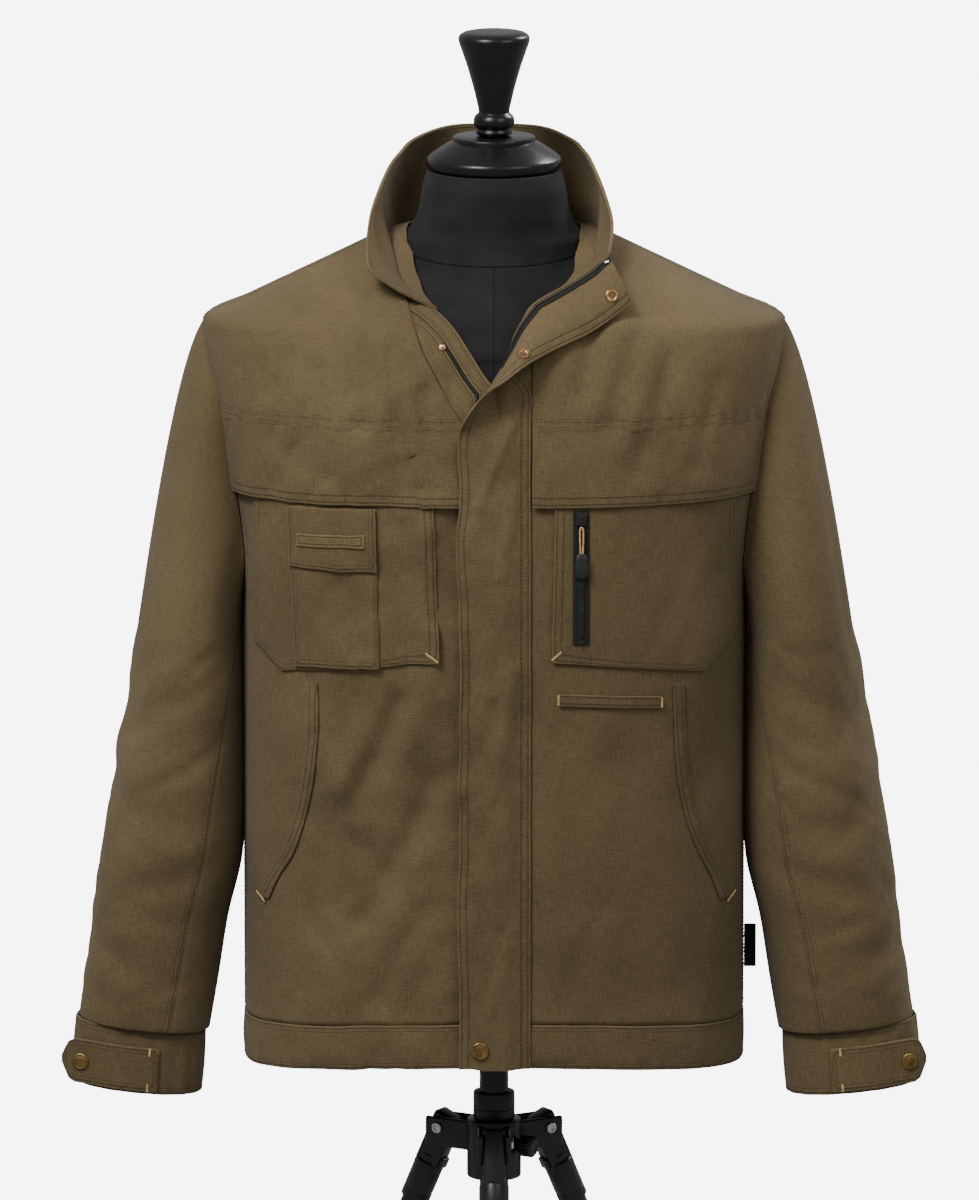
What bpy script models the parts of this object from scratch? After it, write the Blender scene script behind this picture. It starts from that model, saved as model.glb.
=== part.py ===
"""Work jacket on a dress form with a tripod stand.

Metres, +Z up, the jacket's front faces -Y and its wearer's left is +X. The
origin lies on the floor under the middle of the whole part. Every cloth piece
is a wall cut from one body surface or one sleeve surface, and what lies on a
panel is made from the panel's own points, moved out.
"""
import math

import bmesh
import bpy
from mathutils import Matrix, Vector

# ---------------------------------------------------------------- main sizes
HEM_HEIGHT = 0.72          # front hem above the floor
POLE_Y = 0.0840            # stand axis, so that the whole part is centred
GAP = 0.0003               # between pieces at a seam
CLOTH = 0.0015             # wall of the main cloth
THIN = 0.0011              # wall of what is sewn on top
LIFT = 0.0009              # space under a piece that lies on a panel
SQUARENESS = 2.5           # exponent of the body's cross-section

HEM_BAND_TOP = 0.039
SIDE_DROP = 0.014          # the hem hangs lower at the sides
UNDERARM = 0.392
SHOULDER = 0.630
ZIP_CLOSED_TO = 0.590
YOKE_EDGE = 0.489
YOKE_FLARE = 0.0030
YOKE_SHOULDER_LIFT = 0.0003
YOKE_TRIM = 1.4            # degrees the yokes stay short of the armhole seam
YOKE_CROWD = 1.12          # the right yoke's columns crowd towards its flared front corner
BACK_NECK = 0.7045

# body rings: height above the front hem, half width, depth to front and back
BODY_RINGS = (
    # height, half_width, front, back
    (-0.020, 0.2155, 0.134, 0.124),
    (0.100, 0.2155, 0.137, 0.127),
    (0.250, 0.2155, 0.140, 0.130),
    (0.390, 0.2165, 0.142, 0.133),
    (0.490, 0.2280, 0.138, 0.132),
    (0.560, 0.2400, 0.130, 0.129),
    (0.600, 0.2462, 0.120, 0.126),
    (0.630, 0.2470, 0.108, 0.121),
    (0.645, 0.2155, 0.096, 0.116),
    (0.660, 0.1840, 0.080, 0.110),
    (0.680, 0.1420, 0.055, 0.098),
    (0.705, 0.0900, 0.030, 0.081),
)

# armhole: height, how far forward and back of the side the panels end
ARMHOLE = (
    # height, front, back
    (0.392, 0.000, 0.000),
    (0.405, 0.035, 0.040),
    (0.430, 0.049, 0.058),
    (0.470, 0.052, 0.064),
    (0.520, 0.049, 0.062),
    (0.567, 0.045, 0.055),
    (0.611, 0.024, 0.030),
    (0.630, 0.000, 0.000),
)

# front edges above the closed zip, and the neckline above them
NECKLINE_RIGHT = (
    # height, half_width
    (0.590, 0.0006), (0.602, 0.0100), (0.620, 0.0216), (0.637, 0.0340),
    (0.652, 0.0520), (0.665, 0.0740), (0.680, 0.0850), (0.705, 0.0880),
)
NECKLINE_LEFT = (
    # height, half_width
    (0.590, 0.0006), (0.614, 0.0120), (0.640, 0.0250), (0.655, 0.0400),
    (0.668, 0.0660), (0.680, 0.0830), (0.690, 0.0868), (0.705, 0.0880),
)

# broad soft folds of the body: where each runs and how deep it is
BODY_FOLDS = (
    # back, x1, height1, x2, height2, spread, depth
    (0, -0.120, 0.300, -0.100, 0.060, 0.030, 0.0030),
    (0, 0.115, 0.260, 0.130, 0.070, 0.030, 0.0028),
    (0, -0.205, 0.290, -0.165, 0.220, 0.022, 0.0030),
    (0, 0.207, 0.290, 0.168, 0.225, 0.022, 0.0030),
    (1, -0.150, 0.520, -0.110, 0.300, 0.032, 0.0045),
    (1, 0.150, 0.520, 0.110, 0.300, 0.032, 0.0045),
    (1, -0.070, 0.300, -0.085, 0.070, 0.034, 0.0042),
    (1, 0.060, 0.330, 0.080, 0.070, 0.034, 0.0042),
    (1, 0.000, 0.420, 0.005, 0.200, 0.036, 0.0030),
)

# sleeves: height, inner and outer half width, half depth, centre's depth
SLEEVE_RINGS = (
    # height, inner, outer, half_depth, centre_y
    (0.016, 0.2455, 0.3585, 0.0500, -0.010),
    (0.058, 0.2380, 0.3540, 0.0565, -0.008),
    (0.109, 0.2295, 0.3475, 0.0620, -0.006),
    (0.167, 0.2178, 0.3390, 0.0670, -0.003),
    (0.225, 0.2172, 0.3300, 0.0710, 0.000),
    (0.312, 0.2174, 0.3150, 0.0770, 0.004),
    (0.360, 0.2180, 0.3060, 0.0800, 0.006),
)
SLEEVE_TOP_RING = 0.360
CUFF_TOP = 0.0158
CUFF_BOTTOM = -0.040
CUFF_HALF_DEPTH = 0.0440
CUFF_TILT = 0.10           # the cuffs' outer side hangs higher
SLEEVE_SQUARENESS = 2.2
LEFT_SLEEVE_WIDER = 0.004

# the sleeve's front seam, as an angle from its outer side
FRONT_SEAM = (
    # height, angle
    (0.016, 112.0), (0.119, 114.0), (0.207, 119.0), (0.312, 138.0), (0.360, 152.0),
)
BACK_SEAM_ANGLE = 128.0

SLEEVE_FOLDS = (
    # height, angle, tilt, spread, depth
    (0.300, 70.0, 0.35, 0.020, 0.0030),
    (0.215, 35.0, -0.30, 0.020, 0.0030),
    (0.150, 95.0, 0.30, 0.018, 0.0032),
    (0.080, 50.0, -0.25, 0.018, 0.0030),
    (0.330, 290.0, -0.35, 0.022, 0.0034),
    (0.190, 275.0, 0.30, 0.020, 0.0034),
    (0.100, 300.0, -0.30, 0.018, 0.0030),
)

# collar: its top edge from the wearer's right front corner round to the left
COLLAR_TOP = (
    # x, y, height
    (-0.1070, -0.0850, 0.6850),
    (-0.1085, -0.0550, 0.7020),
    (-0.1040, -0.0230, 0.7270),
    (-0.0910, 0.0200, 0.7540),
    (-0.0670, 0.0560, 0.7760),
    (-0.0380, 0.0820, 0.7826),
    (0.0000, 0.0890, 0.7830),
    (0.0400, 0.0820, 0.7820),
    (0.0662, 0.0560, 0.7750),
    (0.0826, 0.0250, 0.7612),
    (0.0937, -0.0100, 0.7398),
    (0.1006, -0.0420, 0.7177),
    (0.0975, -0.0740, 0.6960),
)

# storm flap above the closed zip: the zip line's height and the turned free edge
FLAP_TURN = (
    # zip_height, free_x, free_y, free_height
    (0.5700, -0.0250, -0.1440, 0.5640),
    (0.5900, -0.0095, -0.1500, 0.5860),
    (0.6060, 0.0090, -0.1510, 0.5990),
    (0.6220, 0.0250, -0.1430, 0.6105),
    (0.6380, 0.0420, -0.1290, 0.6185),
    (0.6520, 0.0620, -0.1170, 0.6265),
    (0.6730, 0.0800, -0.1090, 0.6340),
    (0.6840, 0.1000, -0.1020, 0.6460),
    (0.6960, 0.1165, -0.0960, 0.6588),
)
COLLAR_END = 0.662         # height at which the left front edge becomes the collar's
FLAP_ROOT = 0.0310
FLAP_FREE = -0.0300
FLAP_STAND_OFF = 0.0042
FLAP_WALL = 0.0013
FLAP_TUCK = Vector((0.0060, 0.0030, -0.0010))    # where the turned flap leaves the zip, its root

POLE_RADIUS = 0.0125
FOOT_SPREAD = 0.336        # from the pole to the middle of a foot
LEG_PIVOT_RADIUS = 0.0485
LEG_PIVOT = -0.086
LEG_ANGLES = (("front", -90.0), ("right", 150.0), ("left", 30.0))
LEG_RADIUS = 0.0105
FOOT_HEIGHT = 0.030

COLOURS = {
    # name: (red, green, blue), roughness, metallic
    "canvas": ((0.110, 0.074, 0.034), 0.90, 0.0),
    "canvas_dark": ((0.085, 0.056, 0.028), 0.90, 0.0),
    "zip_black": ((0.018, 0.018, 0.016), 0.60, 0.0),
    "brass": ((0.420, 0.270, 0.100), 0.38, 1.0),
    "form_cloth": ((0.010, 0.010, 0.009), 0.85, 0.0),
    "black_wood": ((0.008, 0.008, 0.008), 0.30, 0.0),
    "black_metal": ((0.010, 0.010, 0.011), 0.35, 0.4),
    "steel": ((0.600, 0.600, 0.600), 0.30, 1.0),
    "rubber": ((0.012, 0.012, 0.012), 0.80, 0.0),
}


# ---------------------------------------------------------------- scene helpers
def clear_scene():
    for item in list(bpy.data.objects):
        bpy.data.objects.remove(item, do_unlink=True)


def new_collection(name):
    collection = bpy.data.collections.new(name)
    bpy.context.scene.collection.children.link(collection)
    return collection


def new_material(node, finish):
    colour, roughness, metallic = COLOURS[finish]
    material = bpy.data.materials.new(node + "_" + finish)
    material.use_nodes = True
    shader = material.node_tree.nodes["Principled BSDF"]
    shader.inputs["Base Color"].default_value = (*colour, 1.0)
    shader.inputs["Roughness"].default_value = roughness
    shader.inputs["Metallic"].default_value = metallic
    material.diffuse_color = (*colour, 1.0)
    return material


def add_object(node, mesh, finish):
    mesh.materials.clear()
    mesh.materials.append(new_material(node, finish))
    item = bpy.data.objects.new(node, mesh)
    PART.objects.link(item)
    return item


def finish_bmesh(node, bm, finish, smooth_angle=40.0):
    bmesh.ops.recalc_face_normals(bm, faces=bm.faces)
    mesh = bpy.data.meshes.new(node)
    bm.to_mesh(mesh)
    bm.free()
    mesh.shade_smooth()
    mesh.set_sharp_from_angle(angle=math.radians(smooth_angle))
    return add_object(node, mesh, finish)


# ---------------------------------------------------------------- number helpers
def smooth(value):
    value = min(max(value, 0.0), 1.0)
    return value * value * (3.0 - 2.0 * value)


def table(rows, key, column):
    """Read one column of a table, eased with a monotone cubic between its rows."""
    if key <= rows[0][0]:
        return rows[0][column]
    if key >= rows[-1][0]:
        return rows[-1][column]
    index = max(i for i in range(len(rows) - 1) if rows[i][0] <= key)

    def slope(i):
        return (rows[i + 1][column] - rows[i][column]) / (rows[i + 1][0] - rows[i][0])

    def tangent(i):
        if i in (0, len(rows) - 1):
            return slope(min(i, len(rows) - 2))
        before, after = slope(i - 1), slope(i)
        return 0.0 if before * after <= 0.0 else 2.0 * before * after / (before + after)

    low, high = rows[index], rows[index + 1]
    span = high[0] - low[0]
    t = (key - low[0]) / span
    return ((2 * t**3 - 3 * t**2 + 1) * low[column] + (t**3 - 2 * t**2 + t) * span * tangent(index)
            + (3 * t**2 - 2 * t**3) * high[column] + (t**3 - t**2) * span * tangent(index + 1))


def steps(start, end, count):
    return [start + (end - start) * i / count for i in range(count + 1)]


def power(value, exponent):
    return math.copysign(abs(value) ** exponent, value)


def place(x, y, height):
    return Vector((x, y + POLE_Y, height + HEM_HEIGHT))


# ---------------------------------------------------------------- body surface
def body_fold(x, is_back, height):
    push = 0.0
    for back, x1, h1, x2, h2, spread, depth in BODY_FOLDS:
        if back != is_back:
            continue
        along = Vector((x2 - x1, h2 - h1))
        reach = Vector((x - x1, height - h1))
        t = min(max(reach.dot(along) / along.length_squared, 0.0), 1.0)
        away = (reach - along * t).length
        push -= depth * math.exp(-(away / spread) ** 2)
    return push


def body_point(angle, height, offset=0.0):
    """Angle 0 is the centre front, 90 the wearer's left side, 180 the back."""
    exponent = 2.0 / SQUARENESS

    def base(a, h):
        half_width = table(BODY_RINGS, h, 1)
        is_back = abs(a) > 90.0
        depth = table(BODY_RINGS, h, 3 if is_back else 2)
        sine, cosine = math.sin(math.radians(a)), math.cos(math.radians(a))
        x = half_width * power(sine, exponent)
        push = body_fold(x, 1 if is_back else 0, h) * smooth(abs(cosine) * 2.5)
        y = -power(cosine, exponent) * (depth + push)
        side = abs(x / half_width) ** 2 if not is_back else 1.0
        drop = SIDE_DROP * side * smooth(1.0 - h / 0.25)
        return Vector((x, y, h - drop))

    point = base(angle, height)
    if offset:
        across = base(angle + 0.8, height) - base(angle - 0.8, height)
        upward = base(angle, height + 0.002) - base(angle, height - 0.002)
        normal = across.cross(upward).normalized()
        point = point + normal * offset
    return place(*point)


def angle_at_x(x, height):
    half_width = table(BODY_RINGS, height, 1)
    ratio = min(abs(x) / half_width, 1.0)
    return math.copysign(math.degrees(math.asin(ratio ** (SQUARENESS / 2.0))), x)


def armhole_angle(height, is_back):
    """The angle at which a panel ends: the side seam, the armhole or the shoulder."""
    if height <= UNDERARM or height >= SHOULDER:
        return 90.0
    reach = table(ARMHOLE, height, 2 if is_back else 1)
    depth = table(BODY_RINGS, height, 3 if is_back else 2)
    tilt = math.degrees(math.acos(min((reach / depth) ** (SQUARENESS / 2.0), 1.0)))
    return tilt if not is_back else 180.0 - tilt


def front_point(x, height, offset=0.0):
    return body_point(angle_at_x(x, height), height, offset)


# ---------------------------------------------------------------- cloth walls
def wall(node, outer, inner, finish, closed=False, smooth_angle=50.0):
    """A closed wall between two grids of points, outer and inner."""
    bm = bmesh.new()
    sheets = [[[bm.verts.new(p) for p in row] for row in grid] for grid in (outer, inner)]
    rows, columns = len(outer), len(outer[0])
    wrap = columns if closed else columns - 1
    for sheet in sheets:
        for i in range(rows - 1):
            for j in range(wrap):
                k = (j + 1) % columns
                bm.faces.new((sheet[i][j], sheet[i][k], sheet[i + 1][k], sheet[i + 1][j]))
    rims = [[(i, j) for j in range(columns)] + ([(i, 0)] if closed else []) for i in (0, rows - 1)]
    if not closed:
        rims += [[(i, j) for i in range(rows)] for j in (0, columns - 1)]
    for rim in rims:
        for (i, j), (k, m) in zip(rim, rim[1:]):
            bm.faces.new((sheets[0][i][j], sheets[0][k][m], sheets[1][k][m], sheets[1][i][j]))
    return finish_bmesh(node, bm, finish, smooth_angle)


def sheet_wall(node, grid, thickness, finish, flip=1.0):
    """A wall about a middle sheet, with its thickness along the sheet's own normals."""
    rows, columns = len(grid), len(grid[0])
    outer, inner = [], []
    for i in range(rows):
        outer.append([])
        inner.append([])
        for j in range(columns):
            across = grid[i][min(j + 1, columns - 1)] - grid[i][max(j - 1, 0)]
            upward = grid[min(i + 1, rows - 1)][j] - grid[max(i - 1, 0)][j]
            normal = across.cross(upward).normalized() * flip
            outer[-1].append(grid[i][j] + normal * thickness / 2)
            inner[-1].append(grid[i][j] - normal * thickness / 2)
    return wall(node, outer, inner, finish)


def front_rows():
    lower = steps(HEM_BAND_TOP + GAP, 0.370, 8)
    middle = [UNDERARM + 0.001, 0.405, 0.430, 0.460, YOKE_EDGE, 0.515, 0.545]
    upper = [0.570, ZIP_CLOSED_TO, 0.606, 0.620, 0.630, 0.640, 0.652, 0.665, 0.680, 0.692, 0.701]
    return lower + middle + upper


def neckline(side, height):
    """Half width at which a front panel starts at a height."""
    if height <= ZIP_CLOSED_TO:
        return 0.0006
    return table(NECKLINE_LEFT if side > 0 else NECKLINE_RIGHT, height, 1)


def panel_start(side, height):
    """The panels stop just outside the collar's seam."""
    return neckline(side, height) + 0.0034 * smooth((height - 0.665) / 0.018)


def edge_trim(height, half_width):
    """Angle that leaves half a seam gap at the panel's outer edge."""
    return math.degrees(GAP * 0.8 / max(half_width * 0.5, 0.03))


def front_grid(side, heights, offset_of, start_of, count=11, outer_trim=0.0, crowd=1.0):
    grid = []
    for height in heights:
        half_width = table(BODY_RINGS, height, 1)
        start = angle_at_x(start_of(height), height)
        end = armhole_angle(height, False) - edge_trim(height, half_width) - outer_trim
        row = []
        span = max(end - start, 2.0)
        for t in steps(0.0, 1.0, count):
            angle = start + span * t ** crowd
            row.append(body_point(side * angle, height, offset_of(angle, height)))
        grid.append(row)
    return grid


def make_front(side, name):
    heights = front_rows()
    grids = [front_grid(side, heights, lambda a, h: offset, lambda h: panel_start(side, h))
             for offset in (0.0, -CLOTH)]
    wall(name, grids[0], grids[1], "canvas")


def make_back():
    heights = front_rows()
    count = 18

    def grid(offset):
        rows = []
        for height in heights:
            half_width = table(BODY_RINGS, height, 1)
            start = armhole_angle(height, True) + edge_trim(height, half_width)
            rows.append([body_point(a if a <= 180.0 else a - 360.0, height, offset)
                         for a in steps(start, 360.0 - start, count)])
        return rows

    wall("back", grid(0.0), grid(-CLOTH), "canvas")


def yoke_offset(side, angle, height):
    half_width = table(BODY_RINGS, height, 1)
    x = half_width * math.sin(math.radians(angle)) ** (2.0 / SQUARENESS)
    flare = YOKE_FLARE * (1.0 - smooth((height - YOKE_EDGE) / 0.07))
    flare *= smooth((x - 0.024) / 0.012) if side < 0 else 1.0
    return LIFT + flare + YOKE_SHOULDER_LIFT * smooth((height - 0.595) / 0.02)


def yoke_start(side, height):
    """The yokes end beside the storm flap, the turned front edge and the collar seam."""
    if side > 0:
        return max(0.0325, neckline(side, height) + 0.0050)
    if height < 0.56:
        return 0.0200
    beside_zip = neckline(side, height + 0.014) + 0.0250
    below_collar = neckline(side, height) + 0.0060
    return beside_zip + (below_collar - beside_zip) * smooth((height - 0.632) / 0.020)


def make_yoke(side, name):
    heights = [h for h in front_rows() if h >= YOKE_EDGE - 1e-6]
    grids = []
    for lift in (THIN, 0.0):
        grids.append(front_grid(side, heights, lambda a, h: yoke_offset(side, a, h) + lift,
                                lambda h: yoke_start(side, h), 10, outer_trim=YOKE_TRIM,
                                crowd=YOKE_CROWD if side < 0 else 1.0))
    wall(name, grids[0], grids[1], "canvas")


def make_hem_band():
    heights = (0.0, 0.013, 0.026, HEM_BAND_TOP - GAP)
    gap_angle = 0.25
    for name, start, end, count in (
            ("hem_band_left", 2.6, 90.0 - gap_angle, 12),
            ("hem_band_right", -90.0 + gap_angle, -2.6, 12),
            ("hem_band_back", 90.0 + gap_angle, 270.0 - gap_angle, 22)):
        grids = []
        for offset in (0.0006, -0.0019):
            rows = []
            for height in heights:
                angles = [a if a <= 180.0 else a - 360.0 for a in steps(start, end, count)]
                rows.append([body_point(a, height, offset) for a in angles])
            grids.append(rows)
        wall(name, grids[0], grids[1], "canvas")


# ---------------------------------------------------------------- pockets and trims
def patch(node, rows, offset, thickness, finish, side=1.0, most=0.022):
    """A flat piece on the front. rows: height at the inner and outer edge, inner and outer x."""
    widest = max(abs(row[3] - row[2]) for row in rows)
    count = max(1, math.ceil(widest / most))
    grids = []
    for lift in (offset + thickness, offset):
        grid = []
        for inner_height, outer_height, inner_x, outer_x in rows:
            line = []
            for t in steps(0.0, 1.0, count):
                height = inner_height + (outer_height - inner_height) * t
                first, last = angle_at_x(inner_x, height), angle_at_x(outer_x, height)
                line.append(body_point(side * (first + (last - first) * t), height, lift))
            grid.append(line)
        grids.append(grid)
    return wall(node, grids[0], grids[1], finish)


CHEST_POCKETS = (
    # node, side, inner_x_top, inner_x_bottom, outer_x, corner_x
    ("chest_pocket_right", -1.0, 0.0520, 0.0475, 0.2035, 0.1800),
    ("chest_pocket_left", 1.0, 0.0520, 0.0490, 0.2045, 0.1780),
)
POCKET_TOP = 0.501
POCKET_BOTTOM_INNER = 0.3555
POCKET_BOTTOM_OUTER = 0.3400
POCKET_CORNER = 0.3610
POCKET_LIFT = LIFT + 0.0003
PATCH_LIFT = POCKET_LIFT + THIN + LIFT


def make_chest_pockets():
    for node, side, top_x, bottom_x, outer_x, corner_x in CHEST_POCKETS:
        rows = [(POCKET_BOTTOM_INNER + (POCKET_CORNER - POCKET_BOTTOM_INNER) * t,
                 POCKET_BOTTOM_OUTER + (POCKET_CORNER - POCKET_BOTTOM_OUTER) * t,
                 bottom_x, corner_x + (outer_x - corner_x) * t) for t in steps(0.0, 1.0, 3)]
        rows += [(h, h, bottom_x + (top_x - bottom_x) * (h - POCKET_CORNER) / 0.14, outer_x)
                 for h in steps(POCKET_CORNER, POCKET_TOP, 6)[1:]]
        patch(node, rows, POCKET_LIFT, THIN, "canvas", side, 0.020)


def make_patch_pocket():
    bottom = (0.3500, 0.3460, 0.0975, 0.1675)
    rows = [bottom] + [(h, h, 0.0975 + 0.0025 * t, 0.1675 + 0.0045 * t)
                       for t, h in zip(steps(0.2, 1.0, 5), steps(0.372, 0.4860, 5))]
    patch("patch_pocket", rows, PATCH_LIFT, THIN, "canvas", -1.0, 0.018)
    flap_lift = PATCH_LIFT + THIN + LIFT
    rows = [(0.4320, 0.4335, 0.0985, 0.1720), (0.4500, 0.4500, 0.0990, 0.1725),
            (0.4680, 0.4680, 0.0995, 0.1725), (0.4860, 0.4860, 0.1000, 0.1728)]
    patch("patch_pocket_flap", rows, flap_lift, 0.0014, "canvas", -1.0, 0.018)
    rows = [(0.4530, 0.4520, 0.1085, 0.1635), (0.4640, 0.4630, 0.1085, 0.1635)]
    patch("woven_patch", rows, flap_lift + 0.0014 + 0.0004, 0.0009, "canvas_dark", -1.0, 0.018)


ZIP_CENTRE_X = 0.0735
ZIP_TAPE_HALF = 0.0068
ZIP_BOTTOM = 0.371
ZIP_TOP = 0.4865
ZIP_TAPE_LIFT = POCKET_LIFT + THIN + 0.0004
ZIP_TAPE_WALL = 0.0014


def make_pocket_zip():
    rows = [(h, h, ZIP_CENTRE_X - ZIP_TAPE_HALF, ZIP_CENTRE_X + ZIP_TAPE_HALF)
            for h in steps(ZIP_BOTTOM, ZIP_TOP, 6)]
    patch("pocket_zip_tape", rows, ZIP_TAPE_LIFT, ZIP_TAPE_WALL, "zip_black", 1.0, 0.0068)
    slider_lift = ZIP_TAPE_LIFT + ZIP_TAPE_WALL + GAP + 0.0001
    rows = [(h, h, ZIP_CENTRE_X - w, ZIP_CENTRE_X + w)
            for h, w in ((0.4735, 0.0030), (0.4770, 0.0044), (0.4850, 0.0048))]
    patch("pocket_zip_slider", rows, slider_lift, 0.0022, "zip_black", 1.0, 0.02)
    make_pull(slider_lift)


def make_pull(lift):
    """Cord loop through the slider's eye and a moulded grip, as one hanging piece."""
    top = front_point(ZIP_CENTRE_X, 0.4726, lift + 0.0012)
    foot = front_point(ZIP_CENTRE_X, 0.4290, lift + 0.0012)
    down = (foot - top).normalized()
    length = (foot - top).length
    outward = Vector((1.0, 0.0, 0.0)).cross(down).normalized()
    if outward.y > 0.0:
        outward = -outward
    across = outward.cross(down).normalized()
    grip_top = length - 0.0215
    profile = (
        # along, half_width, half_thickness
        (0.0000, 0.0020, 0.0004), (0.0040, 0.0034, 0.0009), (0.0130, 0.0034, 0.0009),
        (grip_top, 0.0028, 0.0010), (grip_top + 0.0015, 0.0046, 0.0017),
        (grip_top + 0.0100, 0.0062, 0.0019), (length - 0.0030, 0.0060, 0.0018),
        (length, 0.0030, 0.0010),
    )
    bm = bmesh.new()
    rings = []
    for along, half_width, half_thick in profile:
        middle = top + down * along + outward * 0.0009
        rings.append([bm.verts.new(middle + across * half_width * math.cos(t) + outward * half_thick * math.sin(t))
                      for t in (math.tau * k / 10 for k in range(10))])
    for low, high in zip(rings, rings[1:]):
        for k in range(10):
            bm.faces.new((low[k], low[(k + 1) % 10], high[(k + 1) % 10], high[k]))
    bm.faces.new(rings[0])
    bm.faces.new(rings[-1])
    finish_bmesh("pocket_zip_pull", bm, "zip_black")


def make_welt():
    rows = [(0.3180, 0.3120, 0.0550, 0.1420), (0.3285, 0.3225, 0.0550, 0.1420)]
    patch("welt_pocket", rows, LIFT, 0.0014, "canvas", 1.0, 0.015)


HAND_POCKETS = (
    # height, x_right, x_left
    (0.1410, 0.2015, 0.2020),
    (0.1600, 0.1930, 0.1950),
    (0.1826, 0.1800, 0.1840),
    (0.2158, 0.1690, 0.1720),
    (0.2530, 0.1620, 0.1650),
    (0.2980, 0.1585, 0.1620),
    (0.3330, 0.1585, 0.1610),
)
FACING_WIDTH = 0.009


def make_hand_pockets():
    for node, side, column in (("hand_pocket_right", -1.0, 1), ("hand_pocket_left", 1.0, 2)):
        rows = []
        for height in steps(HAND_POCKETS[0][0], HAND_POCKETS[-1][0], 11):
            x = table(HAND_POCKETS, height, column)
            rows.append((height, height, x - FACING_WIDTH, x))
        patch(node, rows, LIFT, THIN, "canvas", side, 0.005)


def make_side_tab():
    bm = bmesh.new()
    bmesh.ops.create_cube(bm, size=1.0)
    width, depth, height = 0.0105, 0.0012, 0.038
    middle = place(0.2155 + GAP + width / 2 + 0.0002, 0.0, 0.0790)
    bmesh.ops.scale(bm, vec=(width, depth, height), verts=bm.verts)
    bmesh.ops.translate(bm, vec=middle, verts=bm.verts)
    finish_bmesh("side_tab", bm, "zip_black", 30.0)


# ---------------------------------------------------------------- storm flap and front zip
def flap_offset(x):
    """The closed flap stands off over the zip and comes down at its root seam."""
    return LIFT + THIN / 2 + FLAP_STAND_OFF * smooth((FLAP_ROOT - x) / 0.022)


def zip_line(height):
    """The wearer's left zip edge: the front's edge, then the collar's front edge."""
    if height <= COLLAR_END:
        return front_point(neckline(1.0, height), height, 0.0050)
    t = (height - COLLAR_END) / (COLLAR_TOP[-1][2] - COLLAR_END)
    return collar_point(collar_base()[-1], place(*COLLAR_TOP[-1]), t) + Vector((0.0, -0.0042, 0.0))


def turned_point(index, t):
    """The turned flap from the zip line (t = 0), gently arched, to its free edge (t = 1)."""
    zip_height, fx, fy, fh = FLAP_TURN[index]
    arch = Vector((0.0, -0.0065, 0.0020)) * math.sin(math.pi * t) * smooth(index / 3.0)
    return zip_line(zip_height).lerp(place(fx, fy, fh), t) + arch


def flap_rows():
    rows = []
    across = (FLAP_ROOT, 0.021, 0.011, 0.001, -0.009, -0.020, FLAP_FREE)
    for height in [0.0005] + steps(0.045, 0.545, 11):
        rows.append([front_point(x, height, flap_offset(x)) for x in across])
    for index, (zip_height, fx, fy, fh) in enumerate(FLAP_TURN):
        zip_point = turned_point(index, 0.0)
        back_up = (zip_point - turned_point(index, 1.0)).normalized()
        row = []
        for t in (1.0, 0.66, 0.30):
            if index <= 1:
                surface = front_point(FLAP_ROOT * t, zip_height - 0.004, flap_offset(FLAP_ROOT * t))
            elif index == 2:
                surface = zip_point + FLAP_TUCK * t
            else:
                surface = zip_point + back_up * 0.0025 * t
            row.append(surface)
        row += [turned_point(index, t) for t in (0.0, 0.33, 0.66, 1.0)]
        rows.append(row)
    return rows


def make_storm_flap():
    sheet_wall("storm_flap", flap_rows(), FLAP_WALL, "canvas")


def turned_flap(row, along):
    """A point and the seen side's normal on the turned flap; row may lie between two rows."""
    low = min(int(row), len(FLAP_TURN) - 2)

    def at(r, t):
        return turned_point(low, t).lerp(turned_point(low + 1, t), r - low)

    climb = at(row + 0.1, along) - at(row - 0.1, along)
    across = at(row, min(along + 0.1, 1.0)) - at(row, max(along - 0.1, 0.0))
    normal = across.cross(climb).normalized()
    return at(row, along), normal if normal.z > 0.0 else -normal


def make_front_zip():
    grid = []
    for row in steps(2.0, 8.0, 9):
        line = []
        width = (turned_flap(row, 1.0)[0] - turned_flap(row, 0.0)[0]).length
        for reach in (0.0020, 0.0090):
            point, normal = turned_flap(row, reach / width)
            line.append(point + normal * 0.0024)
        grid.append(line)
    sheet_wall("zip_tape_left", grid, 0.0012, "zip_black")
    facing, tape = [], []
    for height in steps(0.598, 0.644, 6):
        start = neckline(-1.0, height)
        facing.append((height, height - 0.010, start + 0.001, start + 0.0155))
        tape.append((height - 0.0105, height - 0.014, start + 0.0160, start + 0.0215))
    patch("front_edge_right", facing, LIFT, THIN, "canvas", -1.0, 0.008)
    patch("zip_tape_right", tape, LIFT, 0.0015, "zip_black", -1.0, 0.008)
    rows = [(h, h, -w, w) for h, w in ((0.5500, 0.0035), (0.5570, 0.0050), (0.5670, 0.0050))]
    patch("front_zip_slider", rows, 0.0004, 0.0026, "brass", 1.0, 0.02)


# ---------------------------------------------------------------- collar
def collar_base():
    """Neckline stations that match COLLAR_TOP one for one."""
    right = [body_point(-angle_at_x(neckline(-1.0, h), h), h) for h in (0.650, 0.661, 0.672, 0.690)]
    left = [body_point(angle_at_x(neckline(1.0, h), h), h) for h in (0.696, 0.686, 0.675, 0.662)]
    back = []
    for angle in (-118.0, -150.0, 180.0, 150.0, 118.0):
        back.append(body_point(angle, BACK_NECK, 0.0))
    points = right + back + left
    return [p + Vector((0.0, 0.0, 0.0022)) for p in points]


COLLAR_BOW = 0.006


def collar_point(low, high, t):
    """The collar stands from its seam (t = 0) to its top edge (t = 1), bowed a little outward."""
    point = low.lerp(high, t)
    outward = Vector((point.x, point.y - POLE_Y, 0.0)).normalized()
    return point + outward * COLLAR_BOW * math.sin(math.pi * t)


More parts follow.
